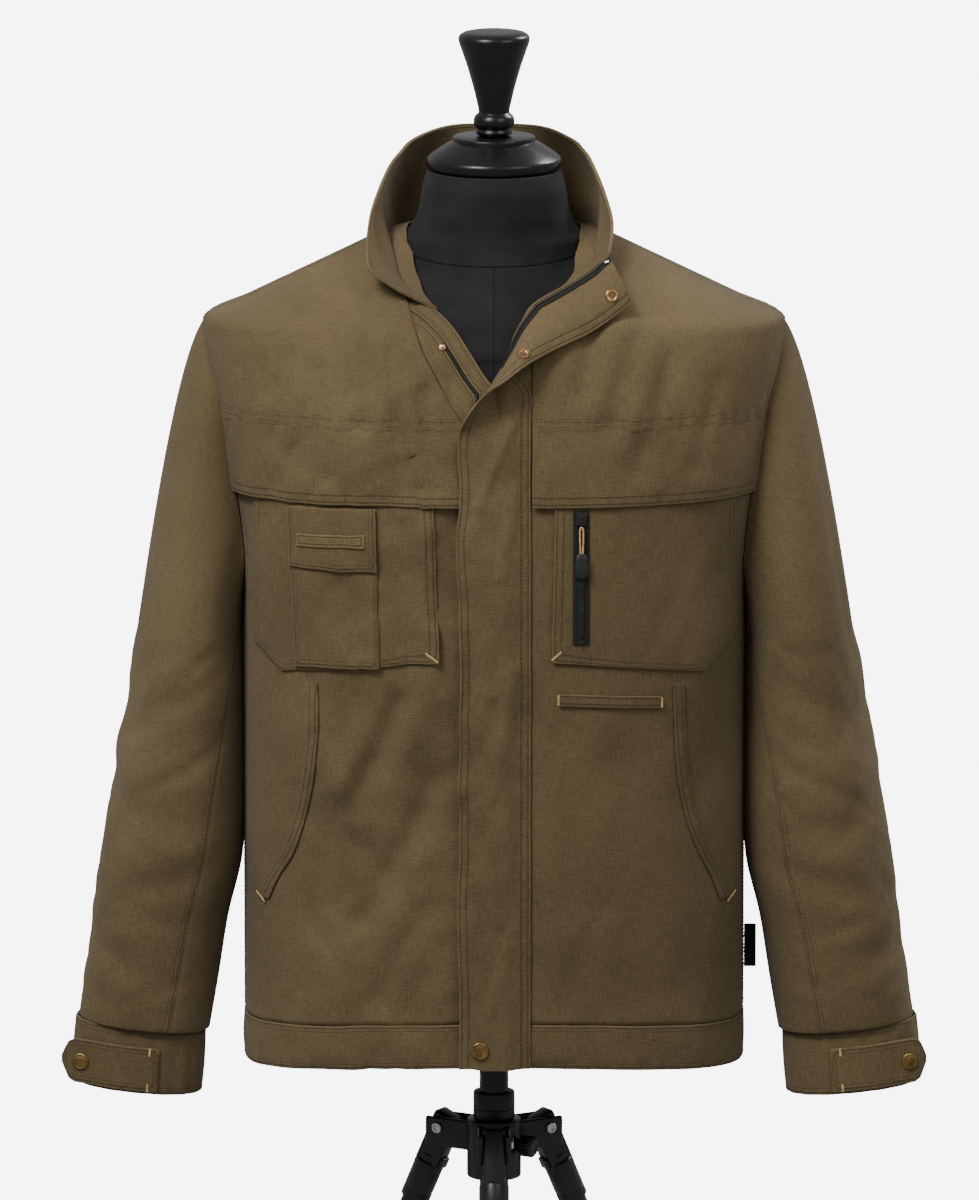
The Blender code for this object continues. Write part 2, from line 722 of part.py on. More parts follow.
def make_collar():
    base = spline(collar_base(), 3)
    top = spline([place(*row) for row in COLLAR_TOP], 3)
    grid = [[collar_point(low, high, t) for low, high in zip(base, top)] for t in (0.0, 0.3, 0.65, 1.0)]
    sheet_wall("collar", grid, 0.0024, "canvas")


def spline(points, pieces):
    """Points of a Catmull-Rom curve through the given ones."""
    result = []
    for i in range(len(points) - 1):
        before = points[max(i - 1, 0)]
        after = points[min(i + 2, len(points) - 1)]
        start, end = points[i], points[i + 1]
        for k in range(pieces):
            t = k / pieces
            result.append(0.5 * (2 * start + (end - before) * t
                                 + (2 * before - 5 * start + 4 * end - after) * t * t
                                 + (3 * start - before - 3 * end + after) * t**3))
    result.append(points[-1].copy())
    return result


# ---------------------------------------------------------------- sleeves and cuffs
def sleeve_fold(height, angle):
    push = 0.0
    for fold_height, fold_angle, tilt, spread, depth in SLEEVE_FOLDS:
        around = (angle - fold_angle + 180.0) % 360.0 - 180.0
        line = fold_height + tilt * math.radians(around) * 0.07
        fade = math.exp(-(around / 48.0) ** 2)
        push -= depth * fade * math.exp(-((height - line) / spread) ** 2)
    return push


def sleeve_ring(side, height, angle):
    """A point of the hanging sleeve; angle 0 is its outer side, 90 its front."""
    inner, outer = table(SLEEVE_RINGS, height, 1), table(SLEEVE_RINGS, height, 2)
    if side > 0:
        outer += LEFT_SLEEVE_WIDER
    half_depth, centre_y = table(SLEEVE_RINGS, height, 3), table(SLEEVE_RINGS, height, 4)
    exponent = 2.0 / SLEEVE_SQUARENESS
    cosine, sine = math.cos(math.radians(angle)), math.sin(math.radians(angle))
    push = sleeve_fold(height, angle)
    middle, reach = (inner + outer) / 2, (outer - inner) / 2
    x = middle + (reach + (push if cosine > -0.3 else 0.0)) * power(cosine, exponent)
    y = centre_y - (half_depth + push) * power(sine, exponent)
    tilt = CUFF_TILT * smooth(1.0 - height / 0.20)
    return Vector((side * x, y, height + tilt * (x - middle)))


def sleeve_cap(side, t, angle):
    """The sleeve head: from the armhole (t = 0) down to the first full ring (t = 1)."""
    cosine = math.cos(math.radians(angle))
    height = (SHOULDER + UNDERARM) / 2 + (SHOULDER - UNDERARM) / 2 * cosine
    height = min(max(height, UNDERARM + 0.0003), SHOULDER - 0.0003)
    is_back = math.sin(math.radians(angle)) < 0.0
    edge = armhole_angle(height, is_back)
    start = body_point(side * edge, height) - place(0.0, 0.0, 0.0)
    start.x += side * 0.0012
    start.z -= 0.0012 * (1.0 - cosine) / 2
    end = sleeve_ring(side, SLEEVE_TOP_RING, angle)
    raised = (1.0 + cosine) / 2
    middle = Vector((start.x + (end.x - start.x) * (0.62 - 0.20 * raised),
                     start.y + (end.y - start.y) * 0.78,
                     start.z + (end.z - start.z) * (0.5 - 0.39 * raised)))
    return start * (1 - t) ** 2 + middle * 2 * t * (1 - t) + end * t * t


def sleeve_point(side, level, angle, offset=0.0):
    """level 0 to 1 is the sleeve head, 1 to 2 the hanging tube down to the cuff."""
    def base(lv, a):
        if lv <= 1.0:
            return sleeve_cap(side, max(lv, 0.0), a)
        return sleeve_ring(side, SLEEVE_TOP_RING + (0.016 - SLEEVE_TOP_RING) * (lv - 1.0), a)

    point = base(level, angle)
    if offset:
        low, high = max(level - 0.02, 0.0), min(level + 0.02, 2.0)
        around = base(level, angle + 2.0) - base(level, angle - 2.0)
        down = base(high, angle) - base(low, angle)
        normal = around.cross(down).normalized() * side
        point = point + normal * offset
    return place(*point)


def front_seam_angle(level):
    height = SLEEVE_TOP_RING if level <= 1.0 else SLEEVE_TOP_RING + (0.016 - SLEEVE_TOP_RING) * (level - 1.0)
    return table(FRONT_SEAM, height, 1)


def make_sleeves():
    levels = steps(0.0, 1.0, 5) + steps(1.0, 2.0, 9)[1:]
    half_gap = 0.30
    for side, name in ((-1.0, "right"), (1.0, "left")):
        for node, count in (("sleeve_top_", 11), ("sleeve_under_", 6)):
            grids = []
            for offset in (0.0, -CLOTH):
                rows = []
                for level in levels:
                    front = front_seam_angle(level)
                    if node == "sleeve_top_":
                        angles = steps(front - half_gap, -BACK_SEAM_ANGLE + half_gap, count)
                    else:
                        angles = steps(front + half_gap, 360.0 - BACK_SEAM_ANGLE - half_gap, count)
                    rows.append([sleeve_point(side, level, a, offset) for a in angles])
                grids.append(rows)
            wall(node + name, grids[0], grids[1], "canvas")


def cuff_point(side, height, angle, offset=0.0):
    inner, outer = 0.2490 + 0.07 * (CUFF_TOP - height), 0.3610 + 0.07 * (CUFF_TOP - height)
    if side > 0:
        outer += LEFT_SLEEVE_WIDER
    middle, reach = (inner + outer) / 2, (outer - inner) / 2
    exponent = 2.0 / SLEEVE_SQUARENESS
    cosine, sine = math.cos(math.radians(angle)), math.sin(math.radians(angle))
    x = middle + (reach + offset) * power(cosine, exponent)
    y = -0.011 - (CUFF_HALF_DEPTH + offset) * power(sine, exponent)
    return place(side * x, y, height + CUFF_TILT * (x - middle))


def make_cuffs():
    for side, name in ((-1.0, "right"), (1.0, "left")):
        grids = []
        for offset in (0.0, -0.0025):
            grids.append([[cuff_point(side, h, a, offset) for a in steps(0.0, 360.0, 22)[:-1]]
                          for h in steps(CUFF_TOP, CUFF_BOTTOM, 2)])
        wall("cuff_" + name, grids[0], grids[1], "canvas", closed=True)
        make_cuff_tab(side, name)


TAB_LIFT = 0.0007
TAB_WALL = 0.0026


TAB_ANGLES = (106.0, 90.0, 76.0, 64.0, 54.0)
TAB_TIP_X = 0.3725
TAB_ROWS = (
    # top, bottom edge at each column, from the inner end to the tip
    (0.0010, -0.0375), (0.0010, -0.0375), (0.0010, -0.0375), (0.0010, -0.0375), (0.0010, -0.0375),
    (0.0010, -0.0375), (0.0010, -0.0375), (-0.0020, -0.0345), (-0.0155, -0.0205),
)


def tab_line(side, height):
    """Points along the tab at one height: round the cuff, then straight to the tip."""
    line = [cuff_point(side, height, angle, TAB_LIFT) for angle in TAB_ANGLES]
    start = line[-1]
    direction = line[-1] - line[-2]
    direction.z = 0.0
    direction = (direction.normalized() * 0.75 + Vector((side, 0.0, 0.0)) * 0.60).normalized()
    reach = (side * TAB_TIP_X - start.x) / direction.x
    return line + [start + direction * reach * t for t in (0.28, 0.62, 0.80, 1.0)]


def make_cuff_tab(side, name):
    """A pointed tab round the cuff's front, whose tip stands past the outer side."""
    grids = []
    for lift in (TAB_WALL, 0.0):
        rows = []
        for t in (0.0, 0.5, 1.0):
            row = []
            for k, (top, bottom) in enumerate(TAB_ROWS):
                height = top + (bottom - top) * t
                line = tab_line(side, height)
                along = line[min(k + 1, len(line) - 1)] - line[max(k - 1, 0)]
                normal = Vector((along.y, -along.x, 0.0)).normalized() * side
                tilt = CUFF_TILT * (abs(line[k].x) - 0.306)
                row.append(Vector((line[k].x, line[k].y, HEM_HEIGHT + height + tilt)) + normal * lift)
            rows.append(row)
        grids.append(rows)
    wall("cuff_tab_" + name, grids[0], grids[1], "canvas", smooth_angle=35.0)
    face = (grids[0][1][6] + grids[0][1][5]) / 2
    along = grids[0][1][6] - grids[0][1][5]
    normal = Vector((along.y, -along.x, 0.0)).normalized() * side
    make_snap("cuff_snap_" + name, face + normal * GAP, normal, 0.0072)


def make_snap(node, seat, normal, radius, thickness=0.0022):
    """A shallow domed cap with its flat back on the seat."""
    bm = bmesh.new()
    turn = Vector((0.0, 0.0, 1.0)).rotation_difference(normal).to_matrix().to_4x4()
    count = 12
    rings = []
    for height, scale in ((0.0, 0.90), (0.0006, 1.0), (thickness * 0.6, 0.96), (thickness, 0.62)):
        rings.append([bm.verts.new((radius * scale * math.cos(t), radius * scale * math.sin(t), height))
                      for t in (math.tau * k / count for k in range(count))])
    for low, high in zip(rings, rings[1:]):
        for k in range(count):
            bm.faces.new((low[k], low[(k + 1) % count], high[(k + 1) % count], high[k]))
    bm.faces.new(rings[0])
    bm.faces.new(rings[-1])
    bmesh.ops.transform(bm, matrix=Matrix.Translation(seat) @ turn, verts=bm.verts)
    finish_bmesh(node, bm, "brass")


def make_socket(node, row, along, radius, lift):
    """A socket snap seated on the seen side of the turned flap."""
    middle, normal = turned_flap(row, along)
    make_snap(node, middle + normal * (FLAP_WALL / 2 + lift), normal, radius, 0.0020)


def make_snaps():
    face = front_point(-0.0120, 0.0170, flap_offset(-0.0120) + FLAP_WALL / 2 + GAP)
    make_snap("hem_snap", face, Vector((0.0, -1.0, 0.0)), 0.0077)
    make_socket("socket_snap_upper", 7.45, 0.55, 0.0056, -0.0001)
    make_socket("socket_snap_lower", 3.35, 0.62, 0.0052, 0.0006)
    seat = front_point(-0.0440, 0.6215, LIFT * 2 + THIN)
    ahead = front_point(-0.0440, 0.6215, 0.02)
    make_snap("collar_stud", seat, (ahead - seat).normalized(), 0.0030, 0.0026)


# ---------------------------------------------------------------- dress form
FORM_RINGS = (
    # height, half_width, front, back, neck_front
    (0.050, 0.1500, 0.094, 0.092, 0.000),
    (0.110, 0.1560, 0.100, 0.098, 0.000),
    (0.200, 0.1490, 0.098, 0.096, 0.000),
    (0.300, 0.1530, 0.103, 0.102, 0.000),
    (0.400, 0.1700, 0.112, 0.112, 0.000),
    (0.500, 0.1850, 0.116, 0.116, 0.000),
    (0.570, 0.1980, 0.110, 0.112, 0.000),
    (0.610, 0.2080, 0.098, 0.106, 0.098),
    (0.630, 0.2120, 0.088, 0.100, 0.092),
    (0.643, 0.2120, 0.078, 0.094, 0.086),
    (0.650, 0.0000, 0.070, 0.090, 0.082),
    (0.660, 0.0000, 0.062, 0.084, 0.076),
    (0.670, 0.0000, 0.052, 0.078, 0.071),
    (0.680, 0.0000, 0.042, 0.072, 0.067),
    (0.690, 0.1000, 0.028, 0.066, 0.064),
    (0.697, 0.0830, 0.024, 0.064, 0.063),
    (0.704, 0.0750, 0.040, 0.062, 0.0625),
    (0.714, 0.0680, 0.056, 0.061, 0.062),
    (0.726, 0.0640, 0.061, 0.061, 0.0615),
    (0.742, 0.0615, 0.061, 0.061, 0.0610),
    (0.7580, 0.0570, 0.057, 0.057, 0.0570),
)
FORM_SEAT = 0.0021         # normal distance from the jacket's outer face to the form at the ridge


def form_half_width(height, stated):
    """Where no width is stated the form's shoulder carries the jacket's shoulder."""
    if stated:
        return stated
    slope_angle = math.atan2(0.070, 0.147)
    return table(BODY_RINGS, height + FORM_SEAT / math.cos(slope_angle), 1)


def make_form():
    bm = bmesh.new()
    count = 28
    rings = []
    for height, stated, front, back, neck_front in FORM_RINGS:
        half_width = form_half_width(height, stated)
        ring = []
        for k in range(count):
            angle = math.tau * k / count
            sine, cosine = math.sin(angle), math.cos(angle)
            x = half_width * power(sine, 0.87)
            if cosine >= 0.0:
                flat = front * abs(cosine) ** 0.87
                dome = neck_front * math.sqrt(max(0.0, 1.0 - (x / max(0.074, min(half_width, 0.078))) ** 2))
                blend = 0.008 * math.exp(-((flat - dome) / 0.012) ** 2) if dome > 0.0 and height < 0.72 else 0.0
                y = -max(flat, dome) - blend * 0.4
            else:
                y = back * abs(cosine) ** 0.87
            ring.append(bm.verts.new(place(x, y, height)))
        rings.append(ring)
    for low, high in zip(rings, rings[1:]):
        for k in range(count):
            bm.faces.new((low[k], low[(k + 1) % count], high[(k + 1) % count], high[k]))
    bm.faces.new(rings[0])
    bm.faces.new(rings[-1])
    finish_bmesh("form_torso", bm, "form_cloth", 60.0)


def lathe(node, profile, finish, segments=24):
    """Turn a closed profile of (radius, height) points, listed top to bottom, about the pole."""
    mesh = bpy.data.meshes.new(node)
    bm = bmesh.new()
    verts = [bm.verts.new((radius, 0.0, height)) for radius, height in profile]
    for start, end in zip(verts, verts[1:]):
        bm.edges.new((start, end))
    if profile[0][0] > 0.0:
        bm.edges.new((verts[-1], verts[0]))
    bm.to_mesh(mesh)
    bm.free()
    item = add_object(node, mesh, finish)
    item.location = place(0.0, 0.0, 0.0)
    screw = item.modifiers.new("turn", "SCREW")
    screw.steps = segments
    screw.render_steps = segments
    screw.use_merge_vertices = True
    screw.merge_threshold = 0.00005
    screw.use_smooth_shade = True
    return item


def make_cap_and_finial():
    lathe("neck_cap", (
        (0.0, 0.7865), (0.0340, 0.7865), (0.0353, 0.7850), (0.0353, 0.7825), (0.0400, 0.7800),
        (0.0520, 0.7725), (0.0572, 0.7680), (0.0580, 0.7660), (0.0580, 0.7610), (0.0560, 0.7585),
        (0.0, 0.7585)), "black_wood")
    lathe("finial", (
        (0.0, 0.8770), (0.0200, 0.8766), (0.0285, 0.8745), (0.0308, 0.8700), (0.0296, 0.8650),
        (0.0235, 0.8480), (0.0180, 0.8290), (0.0140, 0.8120), (0.0132, 0.8070), (0.0160, 0.8045),
        (0.0176, 0.8005), (0.0172, 0.7960), (0.0150, 0.7930), (0.0160, 0.7905), (0.0150, 0.7880),
        (0.0130, 0.7868), (0.0, 0.7868)), "black_wood", segments=16)


# ---------------------------------------------------------------- stand
COLUMN_TOP = 0.0497
COLUMN_BOTTOM = -0.400
COLLAR_TOP_H = -0.0500
COLLAR_BOTTOM_H = -0.0740
HUB_TOP = -0.0743
HUB_BOTTOM = -0.1260
RUNNING_GAP = 0.0003


def tube_profile(inner, outer, top, bottom, edge=0.0015):
    return ((inner, top), (outer - edge, top), (outer, top - edge), (outer, bottom + edge),
            (outer - edge, bottom), (inner, bottom))


def make_column():
    lathe("column", ((0.0, COLUMN_TOP), (POLE_RADIUS, COLUMN_TOP), (POLE_RADIUS, COLUMN_BOTTOM + 0.002),
                     (POLE_RADIUS - 0.002, COLUMN_BOTTOM), (0.0, COLUMN_BOTTOM)), "black_metal", segments=24)
    lathe("column_collar", tube_profile(POLE_RADIUS + RUNNING_GAP, 0.0180, COLLAR_TOP_H, COLLAR_BOTTOM_H),
          "black_metal", segments=20)


def box_object(name, size, matrix, bevel=0.0015):
    bm = bmesh.new()
    bmesh.ops.create_cube(bm, size=1.0)
    bmesh.ops.scale(bm, vec=size, verts=bm.verts)
    if bevel:
        bmesh.ops.bevel(bm, geom=bm.edges[:], offset=bevel, segments=1, affect="EDGES")
    bmesh.ops.transform(bm, matrix=matrix, verts=bm.verts)
    mesh = bpy.data.meshes.new(name)
    bm.to_mesh(mesh)
    bm.free()
    item = bpy.data.objects.new(name, mesh)
    return item


def rod_mesh(name, start, end, radius, segments=16, end_radius=None):
    bm = bmesh.new()
    axis = end - start
    bmesh.ops.create_cone(bm, cap_ends=True, segments=segments, radius1=radius,
                          radius2=radius if end_radius is None else end_radius, depth=axis.length)
    turn = Vector((0.0, 0.0, 1.0)).rotation_difference(axis.normalized()).to_matrix().to_4x4()
    bmesh.ops.transform(bm, matrix=Matrix.Translation((start + end) / 2) @ turn, verts=bm.verts)
    mesh = bpy.data.meshes.new(name)
    bm.to_mesh(mesh)
    bm.free()
    return bpy.data.objects.new(name, mesh)


def hide_as_guide(item):
    item.hide_render = True
    item.display_type = "WIRE"
    GUIDES.objects.link(item)
    return item


def unite(item, others, operation="UNION"):
    for other in others:
        hide_as_guide(other)
        modifier = item.modifiers.new("join_" + other.name, "BOOLEAN")
        modifier.operation = operation
        modifier.object = other


def leg_frame(angle):
    """Radial and sideways directions of a leg on the floor plan."""
    radial = Vector((math.cos(math.radians(angle)), math.sin(math.radians(angle)), 0.0))
    sideways = Vector((-radial.y, radial.x, 0.0))
    return radial, sideways


LUG_OFFSET = 0.0120
LUG_THICKNESS = 0.0050
KNUCKLE_HALF = LUG_OFFSET - LUG_THICKNESS / 2 - RUNNING_GAP


def make_hub():
    hub = lathe("leg_hub", tube_profile(POLE_RADIUS + RUNNING_GAP, 0.0235, HUB_TOP, HUB_BOTTOM), "black_metal",
                segments=20)
    lugs = []
    for name, angle in LEG_ANGLES:
        radial, sideways = leg_frame(angle)
        for end in (-1.0, 1.0):
            middle = place(0.0, 0.0, -0.0900) + radial * 0.0390 + sideways * end * LUG_OFFSET
            turn = Matrix((radial, sideways, Vector((0.0, 0.0, 1.0)))).transposed().to_4x4()
            lugs.append(box_object("lug_%s_%d" % (name, end), (0.0440, LUG_THICKNESS, 0.0260),
                                   Matrix.Translation(middle) @ turn, 0.0012))
    unite(hub, lugs)


def make_legs():
    for name, angle in LEG_ANGLES:
        radial, sideways = leg_frame(angle)
        pivot = place(0.0, 0.0, LEG_PIVOT) + radial * LEG_PIVOT_RADIUS
        floor = place(0.0, 0.0, -HEM_HEIGHT) + radial * FOOT_SPREAD
        axis = floor - pivot
        foot_top = floor - axis.normalized() * (FOOT_HEIGHT - 0.010)
        turn = axis.normalized()
        normal = turn.cross(sideways).normalized()
        matrix = Matrix((normal, sideways, turn)).transposed().to_4x4()
        leg = box_object("leg_" + name, (0.0230, KNUCKLE_HALF * 2, 0.0560),
                         Matrix.Translation(pivot + turn * 0.0170) @ matrix, 0.0025)
        PART.objects.link(leg)
        leg.data.materials.append(new_material("leg_" + name, "black_metal"))
        tube = rod_mesh("leg_tube_" + name, pivot + turn * 0.030, foot_top, LEG_RADIUS, 16)
        sleeve_end = pivot + turn * 0.075
        ferrule = rod_mesh("leg_ferrule_" + name, pivot + turn * 0.036, sleeve_end, 0.0130, 16)
        unite(leg, [ferrule, tube])
        make_foot(name, foot_top, turn)
        make_screw(name, pivot, sideways)


def make_foot(name, top, direction):
    """A rubber foot on the leg's end, with a level sole."""
    bm = bmesh.new()
    count = 16
    start = top + direction * GAP
    axis_turn = Vector((0.0, 0.0, -1.0)).rotation_difference(direction).to_matrix()
    upper = [bm.verts.new(start + axis_turn @ Vector((0.0125 * math.cos(t), 0.0125 * math.sin(t), 0.0)))
             for t in (math.tau * k / count for k in range(count))]
    sole = top + direction * ((top.z) / -direction.z)
    waist = [bm.verts.new((sole.x * 0.6 + start.x * 0.4 + 0.0150 * math.cos(t),
                           sole.y * 0.6 + start.y * 0.4 + 0.0150 * math.sin(t), 0.0075))
             for t in (math.tau * k / count for k in range(count))]
    lower = [bm.verts.new((sole.x + 0.0140 * math.cos(t), sole.y + 0.0140 * math.sin(t), 0.0))
             for t in (math.tau * k / count for k in range(count))]
    for low, high in ((upper, waist), (waist, lower)):
        for k in range(count):
            bm.faces.new((low[k], low[(k + 1) % count], high[(k + 1) % count], high[k]))
    bm.faces.new(upper)
    bm.faces.new(lower)
    finish_bmesh("foot_" + name, bm, "rubber")


def make_screw(name, pivot, sideways):
    """Screw head on the lug face that looks towards the front."""
    facing = sideways if sideways.y < -0.1 else -sideways
    if name == "front":
        facing = Vector((1.0, 0.0, 0.0))
    seat = pivot + facing * (LUG_OFFSET + LUG_THICKNESS / 2 + GAP)
    screw = rod_mesh("leg_screw_" + name, seat, seat + facing * 0.0022, 0.0048, 16, 0.0042)
    PART.objects.link(screw)
    screw.data.materials.append(new_material("leg_screw_" + name, "steel"))


def make_knob():
    """Ridged clamp knob on the hub, turning about its own spindle."""
    direction = Vector((math.cos(math.radians(-30.0)), math.sin(math.radians(-30.0)), 0.0))
    start = place(0.0, 0.0, -0.0960) + direction * (0.0235 + GAP)
    bm = bmesh.new()
    count = 20
    turn = Vector((0.0, 0.0, 1.0)).rotation_difference(direction).to_matrix()
    rings = []
    for along, radius, ridge in ((0.0, 0.0050, 0.0), (0.0040, 0.0050, 0.0), (0.0042, 0.0085, 0.0006),
                                 (0.0150, 0.0088, 0.0006), (0.0170, 0.0070, 0.0)):
        ring = []
        for k in range(count):
            angle = math.tau * k / count
            r = radius + (ridge if k % 2 else -ridge)
            ring.append(bm.verts.new(start + turn @ Vector((r * math.cos(angle), r * math.sin(angle), along))))
        rings.append(ring)
    for low, high in zip(rings, rings[1:]):
        for k in range(count):
            bm.faces.new((low[k], low[(k + 1) % count], high[(k + 1) % count], high[k]))
    bm.faces.new(rings[0])
    bm.faces.new(rings[-1])
    finish_bmesh("clamp_knob", bm, "black_metal", 30.0)


clear_scene()
PART = new_collection("work_jacket_on_dress_form")
GUIDES = new_collection("guides")

make_front(-1.0, "front_right")
make_front(1.0, "front_left")
make_back()
make_yoke(-1.0, "yoke_right")
make_yoke(1.0, "yoke_left")
make_hem_band()
make_collar()
make_storm_flap()
make_front_zip()
make_chest_pockets()
make_patch_pocket()
make_pocket_zip()
make_welt()
make_hand_pockets()
make_side_tab()
make_sleeves()
make_cuffs()
make_snaps()
make_form()
make_cap_and_finial()
make_column()
make_hub()
make_legs()
make_knob()
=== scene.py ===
# %% [markdown]
# # A work jacket on a dress form
#
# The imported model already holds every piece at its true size. This lesson dresses it: each
# cloth piece is cut again as a finer sheet with its creases, topstitching is laid on as real
# thread, and the form and its stand are modelled again with round edges.

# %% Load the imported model
import math

import bmesh
import bpy
import numpy as np
from mathutils import Matrix, Vector
from mathutils.bvhtree import BVHTree


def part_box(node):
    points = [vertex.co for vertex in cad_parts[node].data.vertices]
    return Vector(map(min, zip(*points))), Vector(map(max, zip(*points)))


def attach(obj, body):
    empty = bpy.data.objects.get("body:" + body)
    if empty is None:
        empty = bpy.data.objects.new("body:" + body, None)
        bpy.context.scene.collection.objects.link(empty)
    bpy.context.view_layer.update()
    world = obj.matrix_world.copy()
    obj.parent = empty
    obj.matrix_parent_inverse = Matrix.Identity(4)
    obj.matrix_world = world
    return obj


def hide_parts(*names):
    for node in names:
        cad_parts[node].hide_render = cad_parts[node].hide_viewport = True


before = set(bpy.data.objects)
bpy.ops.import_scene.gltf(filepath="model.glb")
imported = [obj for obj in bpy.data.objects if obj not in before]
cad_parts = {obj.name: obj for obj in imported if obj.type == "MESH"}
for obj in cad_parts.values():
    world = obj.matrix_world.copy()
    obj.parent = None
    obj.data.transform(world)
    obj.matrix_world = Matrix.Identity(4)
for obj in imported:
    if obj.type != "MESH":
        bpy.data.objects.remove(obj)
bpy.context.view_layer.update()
bpy.ops.object.select_all(action="DESELECT")

# %% [markdown]
# ## Camera, floor and light
#
# The photograph was taken from far away, a little above the jacket, on a white sweep. A long
# lens from eleven metres keeps the sides parallel. A soft sun from the upper left draws the
# folds, and a pale sky fills the shadows. A panel close to the shoulders brightens the yokes
# and a wide one fills the right side. A low sun and a panel behind the form trace its edge.
# A studio sweep is lit on its own: a glow that the camera alone sees stands in for that.

# %% Camera
VIEW_HEIGHT = 1.032
VIEW_CENTRE = Vector((-0.0039, 0.084, 1.1026))
VIEW_DISTANCE = 11.0
VIEW_ELEVATION = math.radians(11.0)
camera = bpy.data.objects.new("camera", bpy.data.cameras.new("camera"))
bpy.context.scene.collection.objects.link(camera)
camera.data.sensor_fit = "VERTICAL"
camera.data.sensor_height = 36.0
camera.data.lens = 18.0 / (VIEW_HEIGHT / 2 / VIEW_DISTANCE)
camera.data.clip_end = 100.0
toward = Vector((0.0, -math.cos(VIEW_ELEVATION), math.sin(VIEW_ELEVATION)))
camera.location = VIEW_CENTRE + VIEW_DISTANCE * toward
camera.rotation_euler = (math.pi / 2 - VIEW_ELEVATION, 0.0, 0.0)
bpy.context.scene.camera = camera
print("lens", round(camera.data.lens), "mm")


# %% Floor and lights
def add_light(name, kind, energy, direction, size, distance=3.0, target=(0.0, 0.0, 1.1)):
    light = bpy.data.objects.new(name, bpy.data.lights.new(name, kind))
    bpy.context.scene.collection.objects.link(light)
    light.data.energy = energy
    if kind == "SUN":
        light.data.angle = size
    else:
        light.data.size = size
    way = Vector(direction).normalized()
    light.location = Vector(target) + way * distance
    light.rotation_euler = way.to_track_quat("Z", "Y").to_euler()
    return light


WORLD_LIGHT = 0.45
add_light("soft_sun", "SUN", 1.95, (-0.72, -0.86, 1.42), math.radians(16.0))
add_light("back_sun", "SUN", 1.6, (1.0, 0.75, 0.9), math.radians(20.0))
add_light("upper_panel", "AREA", 15.5, (-0.75, -0.95, 1.25), 0.8, 1.5, (0.0, 0.0, 1.35))
add_light("right_fill", "AREA", 14.0, (1.0, -0.9, 1.2), 1.2, 2.5)
add_light("back_panel", "AREA", 10.0, (0.9, 0.9, 0.9), 1.2)
world = bpy.data.worlds.new("studio")
bpy.context.scene.world = world
world.use_nodes = True
world.node_tree.nodes["Background"].inputs["Color"].default_value = (1.0, 1.0, 1.0, 1.0)
world.node_tree.nodes["Background"].inputs["Strength"].default_value = WORLD_LIGHT

bpy.ops.mesh.primitive_plane_add(size=70.0, location=(0.0, 0.0, 0.0))
floor = bpy.context.active_object
floor.name = "studio_floor"
FLOOR_GLOW = 11.0
GLOW_SHARE = 0.62
floor_paint = bpy.data.materials.new("studio_floor")
floor_paint.use_nodes = True
floor_nodes = floor_paint.node_tree.nodes
floor_shader = floor_nodes["Principled BSDF"]
floor_shader.inputs["Base Color"].default_value = (0.27, 0.27, 0.27, 1.0)
floor_shader.inputs["Roughness"].default_value = 0.9
glow = floor_nodes.new("ShaderNodeEmission")
glow.inputs["Strength"].default_value = FLOOR_GLOW
seen = floor_nodes.new("ShaderNodeLightPath")
share = floor_nodes.new("ShaderNodeMath")
share.operation = "MULTIPLY"
share.inputs[1].default_value = GLOW_SHARE
blend = floor_nodes.new("ShaderNodeMixShader")
for source, target in ((seen.outputs["Is Camera Ray"], share.inputs[0]), (share.outputs[0], blend.inputs[0]),
                       (floor_shader.outputs[0], blend.inputs[1]), (glow.outputs[0], blend.inputs[2]),
                       (blend.outputs[0], floor_nodes["Material Output"].inputs["Surface"])):
    floor_paint.node_tree.links.new(source, target)
floor.data.materials.append(floor_paint)
print("floor and lights")

# %% [markdown]
# ## Shader maths in Python
#
# A finish is a sum of small patterns. Wrapping a socket in a class with its own plus and
# times lets a pattern be written as one line of arithmetic.


# %% Values that can be added and multiplied
class Value:
    def __init__(self, tree, socket):
        self.tree = tree
        self.socket = socket

    def make(self, kind, settings, links, output=0):
        node = self.tree.nodes.new(kind)
        for key, setting in settings.items():
            setattr(node, key, setting)
        for key, value in links.items():
            if isinstance(value, Value):
                self.tree.links.new(value.socket, node.inputs[key])
            else:
                node.inputs[key].default_value = value
        return Value(self.tree, node.outputs[output])

    def maths(self, operation, *values):
        return self.make("ShaderNodeMath", {"operation": operation}, dict(enumerate(values)))

    def __add__(self, other):
        return self.maths("ADD", self, other)

    def __sub__(self, other):
        return self.maths("SUBTRACT", self, other)

    def __rsub__(self, other):
        return self.maths("SUBTRACT", other, self)

    def __mul__(self, other):
        return self.maths("MULTIPLY", self, other)

    __radd__ = __add__
    __rmul__ = __mul__

    def sine(self):
        return self.maths("SINE", self)

    def size(self):
        return self.maths("ABSOLUTE", self)

    def ease(self, start, end):
        """0 below start, 1 above end, smooth between them."""
        return self.make("ShaderNodeMapRange", {"interpolation_type": "SMOOTHSTEP"},
                         {"Value": self, "From Min": start, "From Max": end})

    def groove(self, centre, half_width):
        """1 on a line where this value equals centre, 0 beyond half_width."""
        return 1.0 - (self - centre).size().ease(0.0, half_width)

    def noise(self, scale, detail=2.0, stretch=(1.0, 1.0, 1.0)):
        """A cloud pattern on a vector, stretched along its axes."""
        laid = self.make("ShaderNodeMapping", {}, {"Vector": self, "Scale": stretch})
        return self.make("ShaderNodeTexNoise", {}, {"Vector": laid, "Scale": scale, "Detail": detail})

    def mix(self, first, second):
        """first where this value is 0, second where it is 1."""
        return self.make("ShaderNodeMix", {"data_type": "RGBA"}, {0: self, 6: first, 7: second}, 2)


def grey(tone):
    return tone, tone, tone, 1.0


